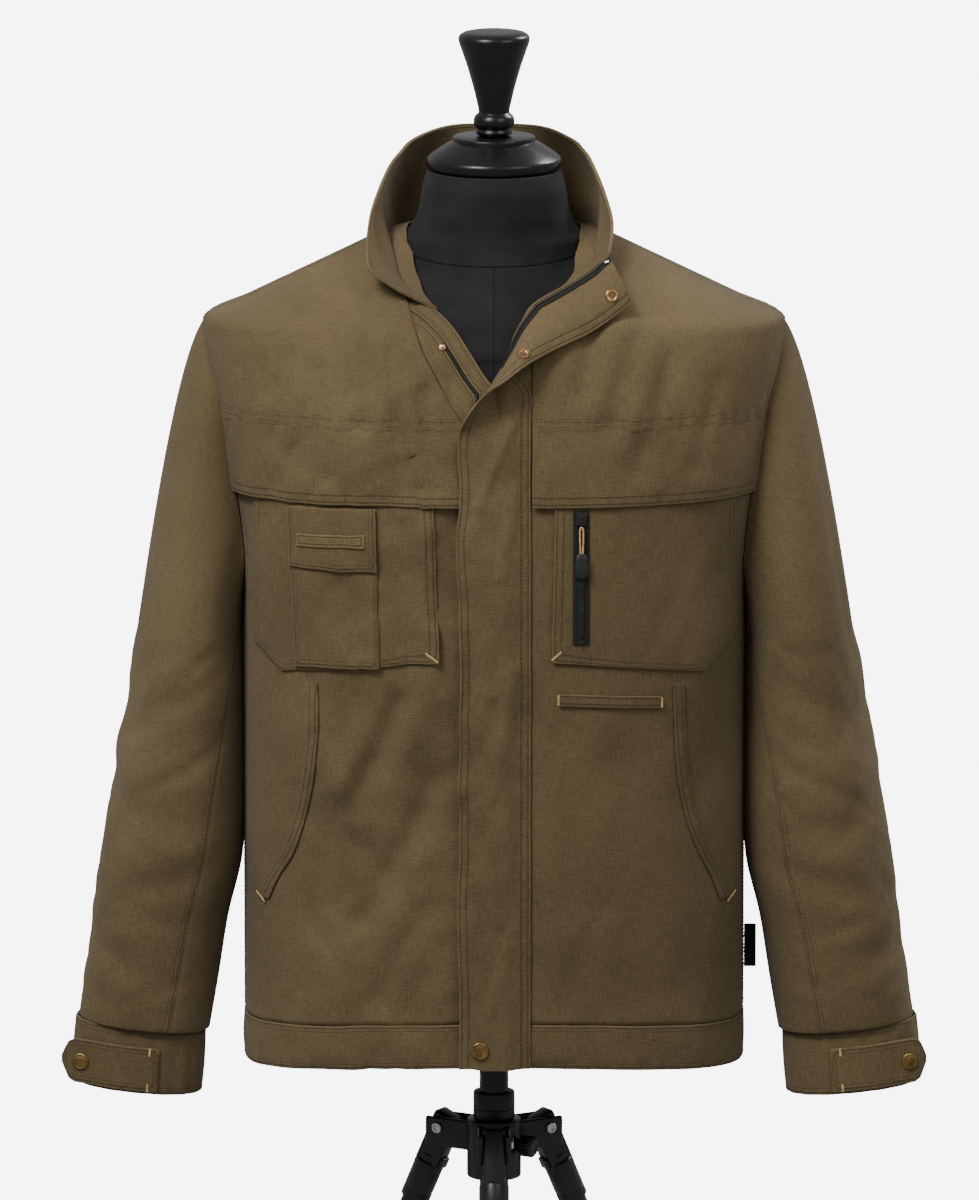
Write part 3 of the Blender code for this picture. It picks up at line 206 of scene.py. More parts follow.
def new_finish(name, roughness, metallic=0.0, coat=0.0, sheen=0.0, specular=0.5):
    """A Principled material, and the wrapped start of its node tree."""
    material = bpy.data.materials.new(name)
    material.use_nodes = True
    shader = material.node_tree.nodes["Principled BSDF"]
    shader.inputs["Roughness"].default_value = roughness
    shader.inputs["Metallic"].default_value = metallic
    shader.inputs["Coat Weight"].default_value = coat
    shader.inputs["Coat Roughness"].default_value = 0.15
    shader.inputs["Sheen Weight"].default_value = sheen
    shader.inputs["Sheen Roughness"].default_value = 0.6
    shader.inputs["Specular IOR Level"].default_value = specular
    return material, shader, Value(material.node_tree, None)


def wire(shader, colour=None, roughness=None, height=None, relief=0.0005, strength=1.0):
    """Join a finish's patterns to its shader; relief is the height of 1 in metres."""
    start = colour or roughness or height
    links = start.tree.links
    if colour:
        links.new(colour.socket, shader.inputs["Base Color"])
    if roughness:
        links.new(roughness.socket, shader.inputs["Roughness"])
    if height:
        bump = start.make("ShaderNodeBump", {}, {"Height": height, "Distance": relief, "Strength": strength})
        links.new(bump.socket, shader.inputs["Normal"])


print("shader maths ready")

# %% [markdown]
# ## Cotton canvas
#
# The jacket is cotton canvas: a fine weave, a slub now and then along the warp, a pale bloom
# on the folded edges and a shallow groove under each row of stitches, with painted shade
# darkening the colour in that groove. The weave follows the piece's own UV map, which is in
# metres. A second attribute, edge, holds the distance to the nearest sewn edge, so grooves and
# puckers run beside the seams of every piece.

# %% Canvas
WARP_PITCH = 0.001
ROW_NEAR = 0.0022
ROW_FAR = 0.008


def canvas_finish(name, dark, light, weave=1.0):
    material, shader, start = new_finish(name, 0.9, sheen=0.05, specular=0.13)
    uv = start.make("ShaderNodeUVMap", {"uv_map": "cloth"}, {})
    parts = start.make("ShaderNodeSeparateXYZ", {}, {0: uv})
    across = parts
    along = Value(start.tree, parts.socket.node.outputs[1])
    edge = start.make("ShaderNodeAttribute", {"attribute_name": "edge"}, {}, 2)
    place = start.make("ShaderNodeTexCoord", {}, {}, 3)
    turn = 2.0 * math.pi / WARP_PITCH
    diagonal = ((across + along) * turn * 0.72).sine() * 0.5
    threads = (across * turn).sine() * (along * turn).sine() * 0.5 + diagonal * 0.6
    slub = uv.noise(1.0, 3.0, (1250.0, 85.0, 1.0)) * 0.5 + uv.noise(1.0, 3.0, (95.0, 1150.0, 1.0)) * 0.5
    fleck = uv.noise(800.0, 3.0)
    bloom = place.noise(9.0, 4.0)
    puckers = (uv.noise(95.0, 2.0, (1.0, 0.55, 1.0)) - 0.5) * (1.0 - edge.ease(0.005, 0.026))
    groove = edge.groove(ROW_NEAR, 0.0011) + edge.groove(ROW_FAR, 0.0011)
    worn = 1.0 - edge.ease(0.0003, 0.0016)
    tone = slub * 0.8 + fleck * 0.35 + bloom * 0.4 + threads * 0.06 * weave
    colour = (tone - 0.48).ease(0.0, 0.62).mix(dark, light)
    # Painted shade: the colour is darkened along each row of stitches, as if shade lay in its groove.
    painted_groove_shade = tuple(channel * 0.62 for channel in dark[:3]) + (1.0,)
    pale = tuple(min(1.0, channel * 1.5) for channel in light[:3]) + (1.0,)
    colour = (groove * 0.62).mix(colour, painted_groove_shade)
    colour = (worn * 0.16).mix(colour, pale)
    height = (threads * 0.16 * weave + slub * 0.45 + puckers * 3.4 + place.noise(34.0, 3.0) * 1.1
              - groove * 0.75)
    rough = 0.84 + slub * 0.12
    wire(shader, colour, rough, height, 0.0011, 0.55)
    return material


CANVAS = canvas_finish("cotton_canvas", (0.064, 0.045, 0.021, 1.0), (0.158, 0.1135, 0.055, 1.0))
WOVEN_PATCH = canvas_finish("woven_patch", (0.075, 0.055, 0.022, 1.0), (0.21, 0.165, 0.075, 1.0), 1.8)
print("canvas", CANVAS.name)


# %% Thread, zip tape and form cloth
def plain_finish(name, dark, light, scale, roughness, relief=0.0002, **settings):
    """A finish with a cloud of tone and a fine grain, for small or hard pieces."""
    material, shader, start = new_finish(name, roughness, **settings)
    place = start.make("ShaderNodeTexCoord", {}, {}, 3)
    cloud = place.noise(scale, 4.0)
    grain = place.noise(scale * 12.0, 2.0)
    colour = (cloud * 0.7 + grain * 0.3 - 0.3).ease(0.0, 0.4).mix(dark, light)
    rough = roughness - 0.08 + cloud * 0.12 + grain * 0.06
    wire(shader, colour, rough, grain, relief, 0.35)
    return material


THREAD = plain_finish("thread_brown", (0.07, 0.049, 0.022, 1.0), (0.125, 0.088, 0.041, 1.0), 120.0, 0.75)
BARTACK = plain_finish("thread_gold", (0.42, 0.29, 0.09, 1.0), (0.62, 0.46, 0.19, 1.0), 200.0, 0.6)
CORD = plain_finish("cord_gold", (0.34, 0.22, 0.07, 1.0), (0.52, 0.37, 0.14, 1.0), 300.0, 0.7)
BLACK_PLASTIC = plain_finish("black_plastic", (0.009, 0.009, 0.008, 1.0), (0.018, 0.018, 0.017, 1.0), 60.0,
                             0.42, specular=0.35)
BRASS = plain_finish("antique_brass", (0.13, 0.08, 0.026, 1.0), (0.34, 0.22, 0.085, 1.0), 160.0, 0.38,
                     metallic=1.0)
BRIGHT_BRASS = plain_finish("bright_brass", (0.3, 0.17, 0.07, 1.0), (0.62, 0.41, 0.2, 1.0), 150.0, 0.27,
                            metallic=1.0)
STEEL = plain_finish("bright_steel", grey(0.42), grey(0.66), 150.0, 0.28, metallic=1.0)
LACQUER = plain_finish("black_lacquer", (0.003, 0.003, 0.0026, 1.0), (0.0055, 0.0053, 0.0046, 1.0), 25.0,
                       0.28, coat=0.1, specular=0.26)
PAINTED = plain_finish("black_paint", (0.006, 0.006, 0.006, 1.0), (0.012, 0.012, 0.013, 1.0), 40.0, 0.36,
                       specular=0.4)
RUBBER = plain_finish("black_rubber", grey(0.01), grey(0.018), 50.0, 0.78)


def tape_finish():
    """Woven zip tape: a fine herringbone on the piece's own UV map."""
    material, shader, start = new_finish("zip_tape", 0.75, specular=0.12)
    uv = start.make("ShaderNodeUVMap", {"uv_map": "cloth"}, {})
    across = start.make("ShaderNodeSeparateXYZ", {}, {0: uv})
    along = Value(start.tree, across.socket.node.outputs[1])
    chevron = ((along + (across * 900.0).sine().size() * 0.0006) * 5200.0).sine()
    grain = uv.noise(1500.0, 2.0)
    tone = (grain * 0.6 + chevron * 0.15).ease(0.1, 0.7)
    colour = tone.mix((0.011, 0.011, 0.01, 1.0), (0.03, 0.029, 0.026, 1.0))
    wire(shader, colour, 0.7 + grain * 0.15, chevron * 0.5 + grain * 0.5, 0.0002, 0.6)
    return material


def form_finish():
    """Black stretch cloth over the form: a close knit grain and a faint nap."""
    material, shader, start = new_finish("form_jersey", 0.85, sheen=0.03, specular=0.14)
    place = start.make("ShaderNodeTexCoord", {}, {}, 3)
    knit = place.noise(1600.0, 2.0, (1.0, 1.0, 0.6))
    nap = place.noise(30.0, 4.0)
    middle_seam = start.make("ShaderNodeAttribute", {"attribute_name": "edge"}, {}, 2)
    neck_seam = start.make("ShaderNodeAttribute", {"attribute_name": "neck"}, {}, 2)
    below_neck = 1.0 - neck_seam.ease(-0.0005, 0.0005)
    crease = neck_seam.groove(0.0, 0.0011) + middle_seam.groove(0.0, 0.0009) * below_neck * 0.7
    tone = (knit * 0.5 + nap * 0.5 - 0.25).ease(0.0, 0.5)
    colour = tone.mix((0.0065, 0.0065, 0.0067, 1.0), (0.018, 0.018, 0.0182, 1.0))
    colour = crease.mix(colour, grey(0.002))
    wire(shader, colour, 0.74 + knit * 0.2, knit * 0.3 - crease * 1.6, 0.0006, 0.6)
    return material


TAPE = tape_finish()
FORM_CLOTH = form_finish()
print("small finishes ready")

# %% [markdown]
# ## One surface for the whole body
#
# A jacket's panels lie on one smooth surface. Its cross-section is a rounded box that is told
# at a few heights in a short table and eased between them. Every panel, pocket and yoke is
# then a patch of that surface, moved out by its own lift, so the layers can never cross.

# %% Sizes of the body and the sleeves
def mm(values):
    """Millimetres to metres, for a number or a table of numbers."""
    if isinstance(values, tuple):
        return tuple(mm(value) for value in values)
    return round(values * 100.0) / 100000.0


SIDES = ((-1, "right"), (1, "left"))
HEM = 0.72
POLE = 0.084
SQUARENESS = 2.5
SHOULDER = 0.63
UNDERARM = 0.392
BAND_TOP = 0.039
YOKE_EDGE = 0.489
LIFT = 0.0009
THIN = 0.0011
BODY_RINGS = mm((
    # height, half_width, front, back
    (-20, 215.5, 134, 124), (100, 215.5, 137, 127), (250, 215.5, 140, 130), (390, 216.5, 142, 133),
    (490, 228, 138, 132), (560, 240, 130, 129), (600, 246.2, 120, 126), (630, 247, 108, 121),
    (645, 215.5, 96, 116), (660, 184, 80, 110), (680, 142, 55, 98), (705, 90, 30, 81),
))
ARMHOLE = mm((
    # height, front, back
    (392, 0, 0), (405, 35, 40), (430, 49, 58), (470, 52, 64), (520, 49, 62), (567, 45, 55), (611, 24, 30),
    (630, 0, 0),
))
NECKLINE = {
    # side: rows of height, half_width
    -1: mm((
        (590, 0.6), (602, 10), (620, 21.6), (637, 34), (652, 52), (665, 74), (680, 85), (705, 88),
    )),
    1: mm((
        (590, 0.6), (614, 12), (640, 25), (655, 40), (668, 66), (680, 83), (690, 86.8), (705, 88),
    )),
}
FRONT_CREASES = mm((
    # x1, height1, x2, height2, spread, depth
    (-120, 300, -100, 60, 30, 3), (115, 260, 130, 70, 30, 2.8), (-205, 290, -165, 220, 22, 3),
    (207, 290, 168, 225, 22, 3), (-103, 655, -110, 560, 11, 4.9), (-89, 645, -82, 545, 9, 4.4),
    (-130, 640, -124, 585, 10, 3.5), (-60, 585, -52, 505, 9, 3.9), (-150, 600, -140, 510, 10, 3.1),
    (-172, 610, -185, 540, 10, 3.1), (85, 640, 75, 585, 13, 5.5), (118, 625, 100, 560, 14, 4.6),
    (150, 610, 120, 520, 13, 3.4), (190, 590, 170, 520, 11, 2.9), (-78, 470, -55, 395, 12, 3.5),
    (-130, 420, -112, 370, 11, 2.9), (-80, 320, -125, 225, 12, 4.6), (-48, 250, -110, 130, 13, 4.6),
    (-60, 140, -100, 60, 11, 3.9), (-140, 230, -155, 120, 11, 3.8), (-190, 540, -150, 515, 12, 2.1),
    (-55, 330, -60, 200, 16, 1.8), (-75, 190, -55, 80, 14, 1.8), (60, 290, 75, 150, 16, 1.8),
    (90, 140, 60, 55, 13, 1.8), (-190, 170, -150, 75, 16, 2.1), (190, 165, 160, 65, 15, 2.1),
    (-150, 110, -175, 50, 10, 1.3), (45, 95, 85, 45, 10, 1.4), (-110, 80, -85, 45, 9, 1.3),
    (98, 680, 128, 560, 20, -4.5), (132, 665, 160, 560, 18, 4),
))
BACK_CREASES = mm((
    # x1, height1, x2, height2, spread, depth
    (-150, 520, -110, 300, 32, 4.5), (150, 520, 110, 300, 32, 4.5), (-70, 300, -85, 70, 34, 4.2),
    (60, 330, 80, 70, 34, 4.2), (0, 420, 5, 200, 36, 3), (-180, 440, -120, 400, 18, 3.2),
    (180, 450, 125, 395, 18, 3.2), (-60, 560, 50, 545, 20, 2.2), (-150, 220, -170, 60, 18, 2.9),
    (150, 230, 165, 70, 18, 2.9), (-20, 160, -35, 50, 14, 2.1), (30, 140, 45, 50, 14, 2.1),
    (-110, 90, -90, 45, 10, 1.4), (115, 100, 130, 45, 10, 1.4),
))


def soft(value):
    value = np.clip(value, 0.0, 1.0)
    return value * value * (3.0 - 2.0 * value)


def cosd(angle):
    return np.cos(np.radians(angle))


def sind(angle):
    return np.sin(np.radians(angle))


def signed_power(value, exponent):
    return np.sign(value) * np.abs(value) ** exponent


def unit(vectors):
    return vectors / np.maximum(np.linalg.norm(vectors, axis=-1, keepdims=True), 1e-12)


def eased(rows, column):
    """Read one column of a table, with a monotone cubic between its rows."""
    keys = np.array([row[0] for row in rows])
    values = np.array([row[column] for row in rows])
    slope = np.diff(values) / np.diff(keys)
    tangent = np.concatenate((slope[:1], np.zeros(len(keys) - 2), slope[-1:]))
    for i in range(1, len(keys) - 1):
        if slope[i - 1] * slope[i] > 0.0:
            tangent[i] = 2.0 * slope[i - 1] * slope[i] / (slope[i - 1] + slope[i])

    def read(key):
        key = np.clip(key, keys[0], keys[-1])
        i = np.clip(np.searchsorted(keys, key, side="right") - 1, 0, len(keys) - 2)
        span = keys[i + 1] - keys[i]
        t = (key - keys[i]) / span
        return ((2 * t**3 - 3 * t**2 + 1) * values[i] + (t**3 - 2 * t**2 + t) * span * tangent[i]
                + (3 * t**2 - 2 * t**3) * values[i + 1] + (t**3 - t**2) * span * tangent[i + 1])

    return read


body_width, body_front, body_back = (eased(BODY_RINGS, column) for column in (1, 2, 3))
armhole_front, armhole_back = eased(ARMHOLE, 1), eased(ARMHOLE, 2)
neck_edge = {side: eased(rows, 1) for side, rows in NECKLINE.items()}
print("tables for", len(BODY_RINGS), "rings")

# %% [markdown]
# ### Creases
#
# A crease is a soft trough along a short line, with the cloth pushed up a little on either
# side. Adding a trough's depth to the surface before anything is cut from it keeps every
# layer on top of a crease in step with it.


# %% The body surface
def trough(x, y, line, spread, depth):
    """The push of one crease at points x, y of a flat map."""
    x1, y1, x2, y2 = line
    dx, dy = x2 - x1, y2 - y1
    along = ((x - x1) * dx + (y - y1) * dy) / (dx * dx + dy * dy)
    t = np.clip(along, 0.0, 1.0)
    away = ((x - x1 - dx * t) ** 2 + (y - y1 - dy * t) ** 2) / spread**2
    return -depth * (1.0 - 0.55 * away) * np.exp(-away)


RUMPLES = (
    # width, length, turn in degrees, share
    (0.046, 0.15, 7.0, 1.0), (0.035, 0.11, -21.0, 0.85), (0.026, 0.075, 30.0, 0.5), (0.055, 0.13, 64.0, 0.6),
    (0.018, 0.05, -6.0, 0.28), (0.022, 0.06, -58.0, 0.25),
)
HILLS = np.random.default_rng(5).uniform(-1.0, 1.0, (61, 61))


def hills(x, y):
    """Smooth random hills and hollows, one to each unit square."""
    column, row = np.floor(x).astype(int), np.floor(y).astype(int)
    right, up = soft(x - column), soft(y - row)
    column, row = column % 60, row % 60
    low = HILLS[row, column] * (1.0 - right) + HILLS[row, column + 1] * right
    high = HILLS[row + 1, column] * (1.0 - right) + HILLS[row + 1, column + 1] * right
    return low * (1.0 - up) + high * up


def rumple(x, y, shift, height):
    """Uneven folds: each layer is pinched in along the lines where its hills cross zero."""
    total = 0.0
    wander = 0.014 * hills(x * 17.0 + shift * 7.0, y * 13.0 + 31.0)
    for number, (width, length, turn, share) in enumerate(RUMPLES):
        cosine, sine = cosd(turn), sind(turn)
        across, along = x * cosine + y * sine + wander, y * cosine - x * sine
        hill = hills(across / width + 13.7 * number + shift * 5.3, along / length + 7.1 * number)
        total = total + share * (np.sqrt(hill * hill + 0.026) - 0.44)
    return total * height


CALM = (
    # x, height, half_width, half_height, share: round the pocket zip and the woven patch
    (0.0735, 0.43, 0.022, 0.075, 0.85), (-0.136, 0.455, 0.045, 0.035, 0.65),
)


def stacked(x, y, height):
    return np.stack(np.broadcast_arrays(x, y + POLE, height + HEM), axis=-1)


def body(angle, height):
    """Angle 0 is the centre front, 90 the wearer's left side, 180 the back."""
    angle, height = np.broadcast_arrays(np.asarray(angle, float), np.asarray(height, float))
    angle = (angle + 180.0) % 360.0 - 180.0
    behind = np.abs(angle) > 90.0
    width = body_width(height)
    depth = np.where(behind, body_back(height), body_front(height))
    sine, cosine = sind(angle), cosd(angle)
    x = width * signed_power(sine, 2.0 / SQUARENESS)
    push = np.zeros_like(x)
    for creases, part in ((FRONT_CREASES, ~behind), (BACK_CREASES, behind)):
        for *line, spread, depth_here in creases:
            push += trough(x, height, line, spread, depth_here) * part
    folds = np.where(behind, 0.0064, 0.0021 + 0.0055 * soft((0.03 - x) / 0.07))
    for calm_x, calm_height, half_width, half_height, share in CALM:
        folds = folds * (1.0 - share * np.exp(-((x - calm_x) / half_width) ** 2
                                              - ((height - calm_height) / half_height) ** 2) * ~behind)
    push += rumple(x, height, behind * 3.0, 1.0) * folds * soft((0.69 - height) / 0.05)
    push *= soft(np.abs(cosine) * 2.5)
    y = -signed_power(cosine, 2.0 / SQUARENESS) * (depth + push)
    side = np.where(behind, 1.0, (x / width) ** 2)
    drop = 0.014 * side * soft(1.0 - height / 0.25)
    return stacked(x, y, height - drop)


def lifted(surface, a, b, offset, step_a=0.8, step_b=0.002):
    """Points of a surface moved out along its own normal."""
    across = surface(a + step_a, b) - surface(a - step_a, b)
    upward = surface(a, b + step_b) - surface(a, b - step_b)
    return surface(a, b) + unit(np.cross(across, upward)) * np.asarray(offset)[..., None]


def angle_at(x, height):
    ratio = np.clip(np.abs(x) / body_width(height), 0.0, 1.0)
    return np.sign(x) * np.degrees(np.arcsin(ratio ** (SQUARENESS / 2.0)))


def front(x, height, offset=0.0):
    x, height = np.broadcast_arrays(np.asarray(x, float), np.asarray(height, float))
    return lifted(body, angle_at(x, height), height, np.broadcast_to(offset, x.shape))


def armhole_angle(height, behind):
    reach, depth = (armhole_back, body_back) if behind else (armhole_front, body_front)
    ratio = np.clip(reach(height) / depth(height), 0.0, 1.0)
    tilt = np.degrees(np.arccos(ratio ** (SQUARENESS / 2.0)))
    tilt = np.where((height <= UNDERARM) | (height >= SHOULDER), 90.0, tilt)
    return 180.0 - tilt if behind else tilt


def zip_edge(side, height):
    return np.where(height <= 0.59, 0.0006, neck_edge[side](height))


print("body depth at the chest", round(float(body_front(0.4) + body_back(0.4)), 3))

# %% [markdown]
# ## Sewing a sheet
#
# Each cloth piece is one grid of points. The grid becomes a mesh with a UV map in metres,
# Solidify gives it the cloth's thickness and Bevel rounds the folded edge. Where an edge is
# sewn, a row of stitches is laid beside it, and the whole jacket's thread is made at the end.


# %% Grids, lengths and normals
def measured(points):
    across = np.linalg.norm(np.diff(points, axis=1), axis=2)
    upward = np.linalg.norm(np.diff(points, axis=0), axis=2)
    u = np.concatenate((np.zeros((len(points), 1)), np.cumsum(across, axis=1)), axis=1)
    v = np.concatenate((np.zeros((1, points.shape[1])), np.cumsum(upward, axis=0)), axis=0)
    return u, v


def grid_normals(points):
    return unit(np.cross(np.gradient(points, axis=1), np.gradient(points, axis=0)))


def cell_area(points):
    first = points[1:, 1:] - points[:-1, :-1]
    second = points[1:, :-1] - points[:-1, 1:]
    return float(np.linalg.norm(np.cross(first, second), axis=2).sum() / 2)


def run_along(line):
    """The distance from the start of a line to each of its points."""
    return np.concatenate(([0.0], np.cumsum(np.linalg.norm(np.diff(line, axis=0), axis=1))))


def read_at(rows, run, where):
    return np.stack([np.interp(where, run, rows[:, k]) for k in range(3)], axis=-1)


THREAD_RUNS = []
STITCH_PITCH = 0.0034
STITCH_LENGTH = 0.0026
THREAD_RADIUS = 0.00026


def stitch(points, normals):
    """Keep the place, direction and normal of each stitch along a line."""
    run = run_along(points)
    count = int(run[-1] / STITCH_PITCH)
    if count < 2:
        return
    at = (np.arange(count) + 0.5) * run[-1] / count
    half = STITCH_LENGTH / 2
    way = read_at(points, run, at + half) - read_at(points, run, at - half)
    THREAD_RUNS.append((read_at(points, run, at), way, read_at(normals, run, at)))


def inset_line(points, side, distance):
    """The line beside one side of a grid, shortened as much at both ends, and its normals."""
    u, v = measured(points)
    normals = grid_normals(points)
    if side in "bt":
        points, normals = points.transpose(1, 0, 2), normals.transpose(1, 0, 2)
        u, v = v.T, u.T
    line, tilt = [], []
    for i in range(len(points)):
        length = u[i, -1]
        where = distance if side in "lb" else length - distance
        line.append(read_at(points[i], u[i], where))
        tilt.append(read_at(normals[i], u[i], where))
    line, tilt = np.array(line), np.array(tilt)
    run = run_along(line)
    keep = np.linspace(distance, run[-1] - distance, max(int(run[-1] / 0.003), 4))
    return read_at(line, run, keep), read_at(tilt, run, keep)


PIECE_COUNT = []
MAIN = "jacket_and_form"


def new_piece(name, points, faces):
    """An object from points and lists of faces."""
    mesh = bpy.data.meshes.new(name)
    mesh.from_pydata(np.reshape(points, (-1, 3)).tolist(), [], faces)
    piece = bpy.data.objects.new(name, mesh)
    bpy.context.scene.collection.objects.link(piece)
    return piece


def keep_value(piece, name, values):
    """Store one number for each point of a piece, for its finish to read."""
    piece.data.attributes.new(name, "FLOAT", "POINT").data.foreach_set("value", values.ravel())


def grid_faces(index):
    corners = (index[:-1, :-1], index[:-1, 1:], index[1:, 1:], index[1:, :-1])
    return np.stack(corners, axis=-1).reshape(-1, 4)


def finish_piece(piece, material, body_name, slot_name, *nodes):
    """Give a finished mesh its material and its body, and hide the solids that it stands for."""
    piece.data.materials.clear()
    piece.data.materials.append(material)
    piece.data.shade_smooth()
    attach(piece, body_name)
    if nodes:
        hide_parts(*nodes)
    PIECE_COUNT.append(piece.name)
    return piece


def apply_modifiers(piece):
    bpy.context.view_layer.objects.active = piece
    for modifier in list(piece.modifiers):
        bpy.ops.object.modifier_apply(modifier=modifier.name)


ONE_ROW = (ROW_NEAR,)
TAPE_ROW = (0.0015,)
TAPE_WALL = 0.0008
DOUBLE = 0.0025  # a band or a cuff is two layers of cloth
TWO_ROWS = (ROW_NEAR, ROW_FAR)
CLOTH_FINISH = {"canvas": CANVAS, "woven_patch": WOVEN_PATCH, "zip_black": TAPE}


def cloth(name, points, slot_name="canvas", wall=0.0015, sewn="", rows=ONE_ROW,
          tube=False, stitches=True, more_edge=None, stands_for_node=True):
    """Make a sheet from its outer face; sewn names its stitched sides: l, r, b and t."""
    u, v = measured(points)
    sides = {"l": u, "r": u[:, -1:] - u, "b": v, "t": v[-1:, :] - v}
    edge = np.full(u.shape, 1.0)
    for side in sewn:
        edge = np.minimum(edge, sides[side])
    if len(rows) == 1:
        edge = np.where(edge > 0.5 * (ROW_NEAR + ROW_FAR), edge + ROW_FAR, edge)
    if more_edge is not None:
        edge = np.minimum(edge, more_edge)
    faces = grid_faces(np.arange(u.size).reshape(u.shape))
    piece = new_piece(name, points, faces.tolist())
    flat = np.stack((u.ravel(), v.ravel()), axis=1)[faces.ravel()]
    piece.data.uv_layers.new(name="cloth").data.foreach_set("uv", flat.ravel())
    keep_value(piece, "edge", edge)
    if tube:
        shape = bmesh.new()
        shape.from_mesh(piece.data)
        bmesh.ops.remove_doubles(shape, verts=shape.verts, dist=0.00005)
        shape.to_mesh(piece.data)
        shape.free()
    solid = piece.modifiers.new("thickness", "SOLIDIFY")
    solid.thickness = wall
    solid.offset = -1.0
    bevel = piece.modifiers.new("rounding", "BEVEL")
    bevel.width = wall * 0.34
    bevel.segments = 2
    bevel.limit_method = "ANGLE"
    bevel.angle_limit = math.radians(60.0)
    apply_modifiers(piece)
    finish_piece(piece, CLOTH_FINISH[slot_name], MAIN, slot_name, *([name] if stands_for_node else []))
    cell_area(points)
    if stitches:
        for side in sewn:
            for distance in rows:
                stitch(*inset_line(points, side, distance))


def spaced(start, end, step):
    return np.linspace(start, end, max(int(round(abs(end - start) / step)), 2) + 1)


print("sheet maker ready")

# %% [markdown]
# ## Fronts, back and hem band
#
# The fronts run from the hem seam to the shoulder, with a side seam below the armhole. The
# back is one piece between the side seams. The hem is a separate double band.

# %% Fronts and back
CLOTH_STEP = 0.0055
panel_heights = np.concatenate((spaced(BAND_TOP - 0.004, BAND_TOP + 0.008, 0.002),
                                spaced(BAND_TOP + 0.008, UNDERARM, CLOTH_STEP)[1:],
                                spaced(UNDERARM, SHOULDER, 0.005)[1:], spaced(SHOULDER, 0.7045, 0.003)[1:]))


def hem_tuck(angle, height):
    """The panels' lower edge dips behind the hem band."""
    return -0.0026 * soft((BAND_TOP + 0.0026 - height) / 0.004)


def front_panel(side, heights, start_x, offset, count=46, trim=0.0):
    """A grid from the front edge to the side or armhole, columns always towards +X."""
    height = np.asarray(heights)[:, None]
    first = angle_at(start_x(height), height)
    last = armhole_angle(height, False) - trim
    t = np.linspace(0.0, 1.0, count + 1)[None, :]
    angle = first + np.maximum(last - first, 2.0) * t
    points = lifted(body, side * angle, height, offset(angle, height))
    return points[:, ::-1] if side < 0 else points


def panel_edge(side):
    return lambda h: zip_edge(side, h) + 0.001 * soft((h - 0.665) / 0.018) * soft((0.703 - h) / 0.006)


for side, name in SIDES:
    grid = front_panel(side, panel_heights, panel_edge(side), hem_tuck)
    cloth("front_" + name, grid, sewn="l" if side < 0 else "r", rows=TWO_ROWS)
height = panel_heights[:, None]
edge_angle = armhole_angle(height, True)
t = np.linspace(0.0, 1.0, 91)[None, :]
angle = edge_angle + (360.0 - 2 * edge_angle) * t
cloth("back", lifted(body, angle, height, hem_tuck(angle, height)), sewn="lr", rows=TWO_ROWS)
print("fronts and back cut")

# %% Hem band
BAND_PARTS = (("left", 2.6, 89.9, 40), ("right", -89.9, -2.6, 40), ("back", 90.1, 269.9, 84))
for name, start, end, count in BAND_PARTS:
    height = spaced(0.0, BAND_TOP - 0.0004, 0.004)[:, None]
    angle = np.linspace(start, end, count + 1)[None, :]
    belly = 0.0002 + 0.0008 * np.sin(np.pi * height / BAND_TOP)
    ripple = 0.0005 * np.sin(angle * 1.9 + 2.0 * np.sin(angle * 0.37)) * np.sin(np.pi * height / BAND_TOP)
    cloth("hem_band_" + name, lifted(body, angle, height, belly + ripple), wall=DOUBLE, sewn="bt")
print("hem band cut")

# %% [markdown]
# ## Yokes
#
# Each yoke is a loose overlay that hangs from the shoulder to a free lower edge, so it lifts
# a little there and throws a shadow on the pocket below.


# %% Yokes
YOKE_ROWS_MIDDLE = 0.5578
YOKE_ROWS_APART = 0.0072


def yoke_lift(side):
    def read(angle, height):
        x = body_width(height) * sind(angle) ** (2.0 / SQUARENESS)
        flare = 0.003 * (1.0 - soft((height - YOKE_EDGE) / 0.07))
        wave = 0.0007 * np.sin(x * 75.0 + side) * (1.0 - soft((height - YOKE_EDGE) / 0.03))
        if side < 0:
            flare = flare * soft((x - 0.024) / 0.012)
        gather = 0.0005 * np.sin(x * 520.0 + 3.0 * np.sin(x * 90.0))
        gather = gather * np.exp(-((height - YOKE_ROWS_MIDDLE) / 0.009) ** 2)
        return LIFT + THIN + flare + wave + gather + 0.0003 * soft((height - 0.595) / 0.02)

    return read


CREASE_LINE = ((0.489, 0.55, 0.579, 0.62, 0.645, 0.66), (0.02, 0.0212, 0.04, 0.062, 0.0705, 0.0748))


def yoke_start(side):
    def read(height):
        if side > 0:
            return np.maximum(0.0325, zip_edge(1, height) + 0.005)
        return np.maximum(np.interp(height, *CREASE_LINE), zip_edge(-1, height) + 0.006)

    return read


row_heights = (YOKE_ROWS_MIDDLE - YOKE_ROWS_APART / 2, YOKE_ROWS_MIDDLE + YOKE_ROWS_APART / 2)
yoke_heights = np.unique(np.concatenate((spaced(YOKE_EDGE, SHOULDER, 0.0035), spaced(SHOULDER, 0.701, 0.003),
                                         row_heights)))
for side, name in SIDES:
    grid = front_panel(side, yoke_heights, yoke_start(side), yoke_lift(side), 72, trim=0.6)
    from_row = np.abs(np.abs(yoke_heights - YOKE_ROWS_MIDDLE) - YOKE_ROWS_APART / 2)[:, None]
    middle_rows = np.where(from_row < 0.0018, 0.0047, 0.06) + from_row
    cloth("yoke_" + name, grid, wall=THIN, sewn="bl" if side < 0 else "br", rows=TWO_ROWS,
          more_edge=middle_rows)
    for height_at in row_heights:
        x = side * spaced(0.036 if side > 0 else 0.03, 0.215 + 0.25 * (height_at - 0.5535), 0.004)
        angle = angle_at(x, height_at)
        lift = yoke_lift(side)(np.abs(angle), height_at)
        line = lifted(body, angle, height_at, lift + 0.0001)
        stitch(line, lifted(body, angle, height_at, lift + 0.0011) - line)
print("yokes cut")

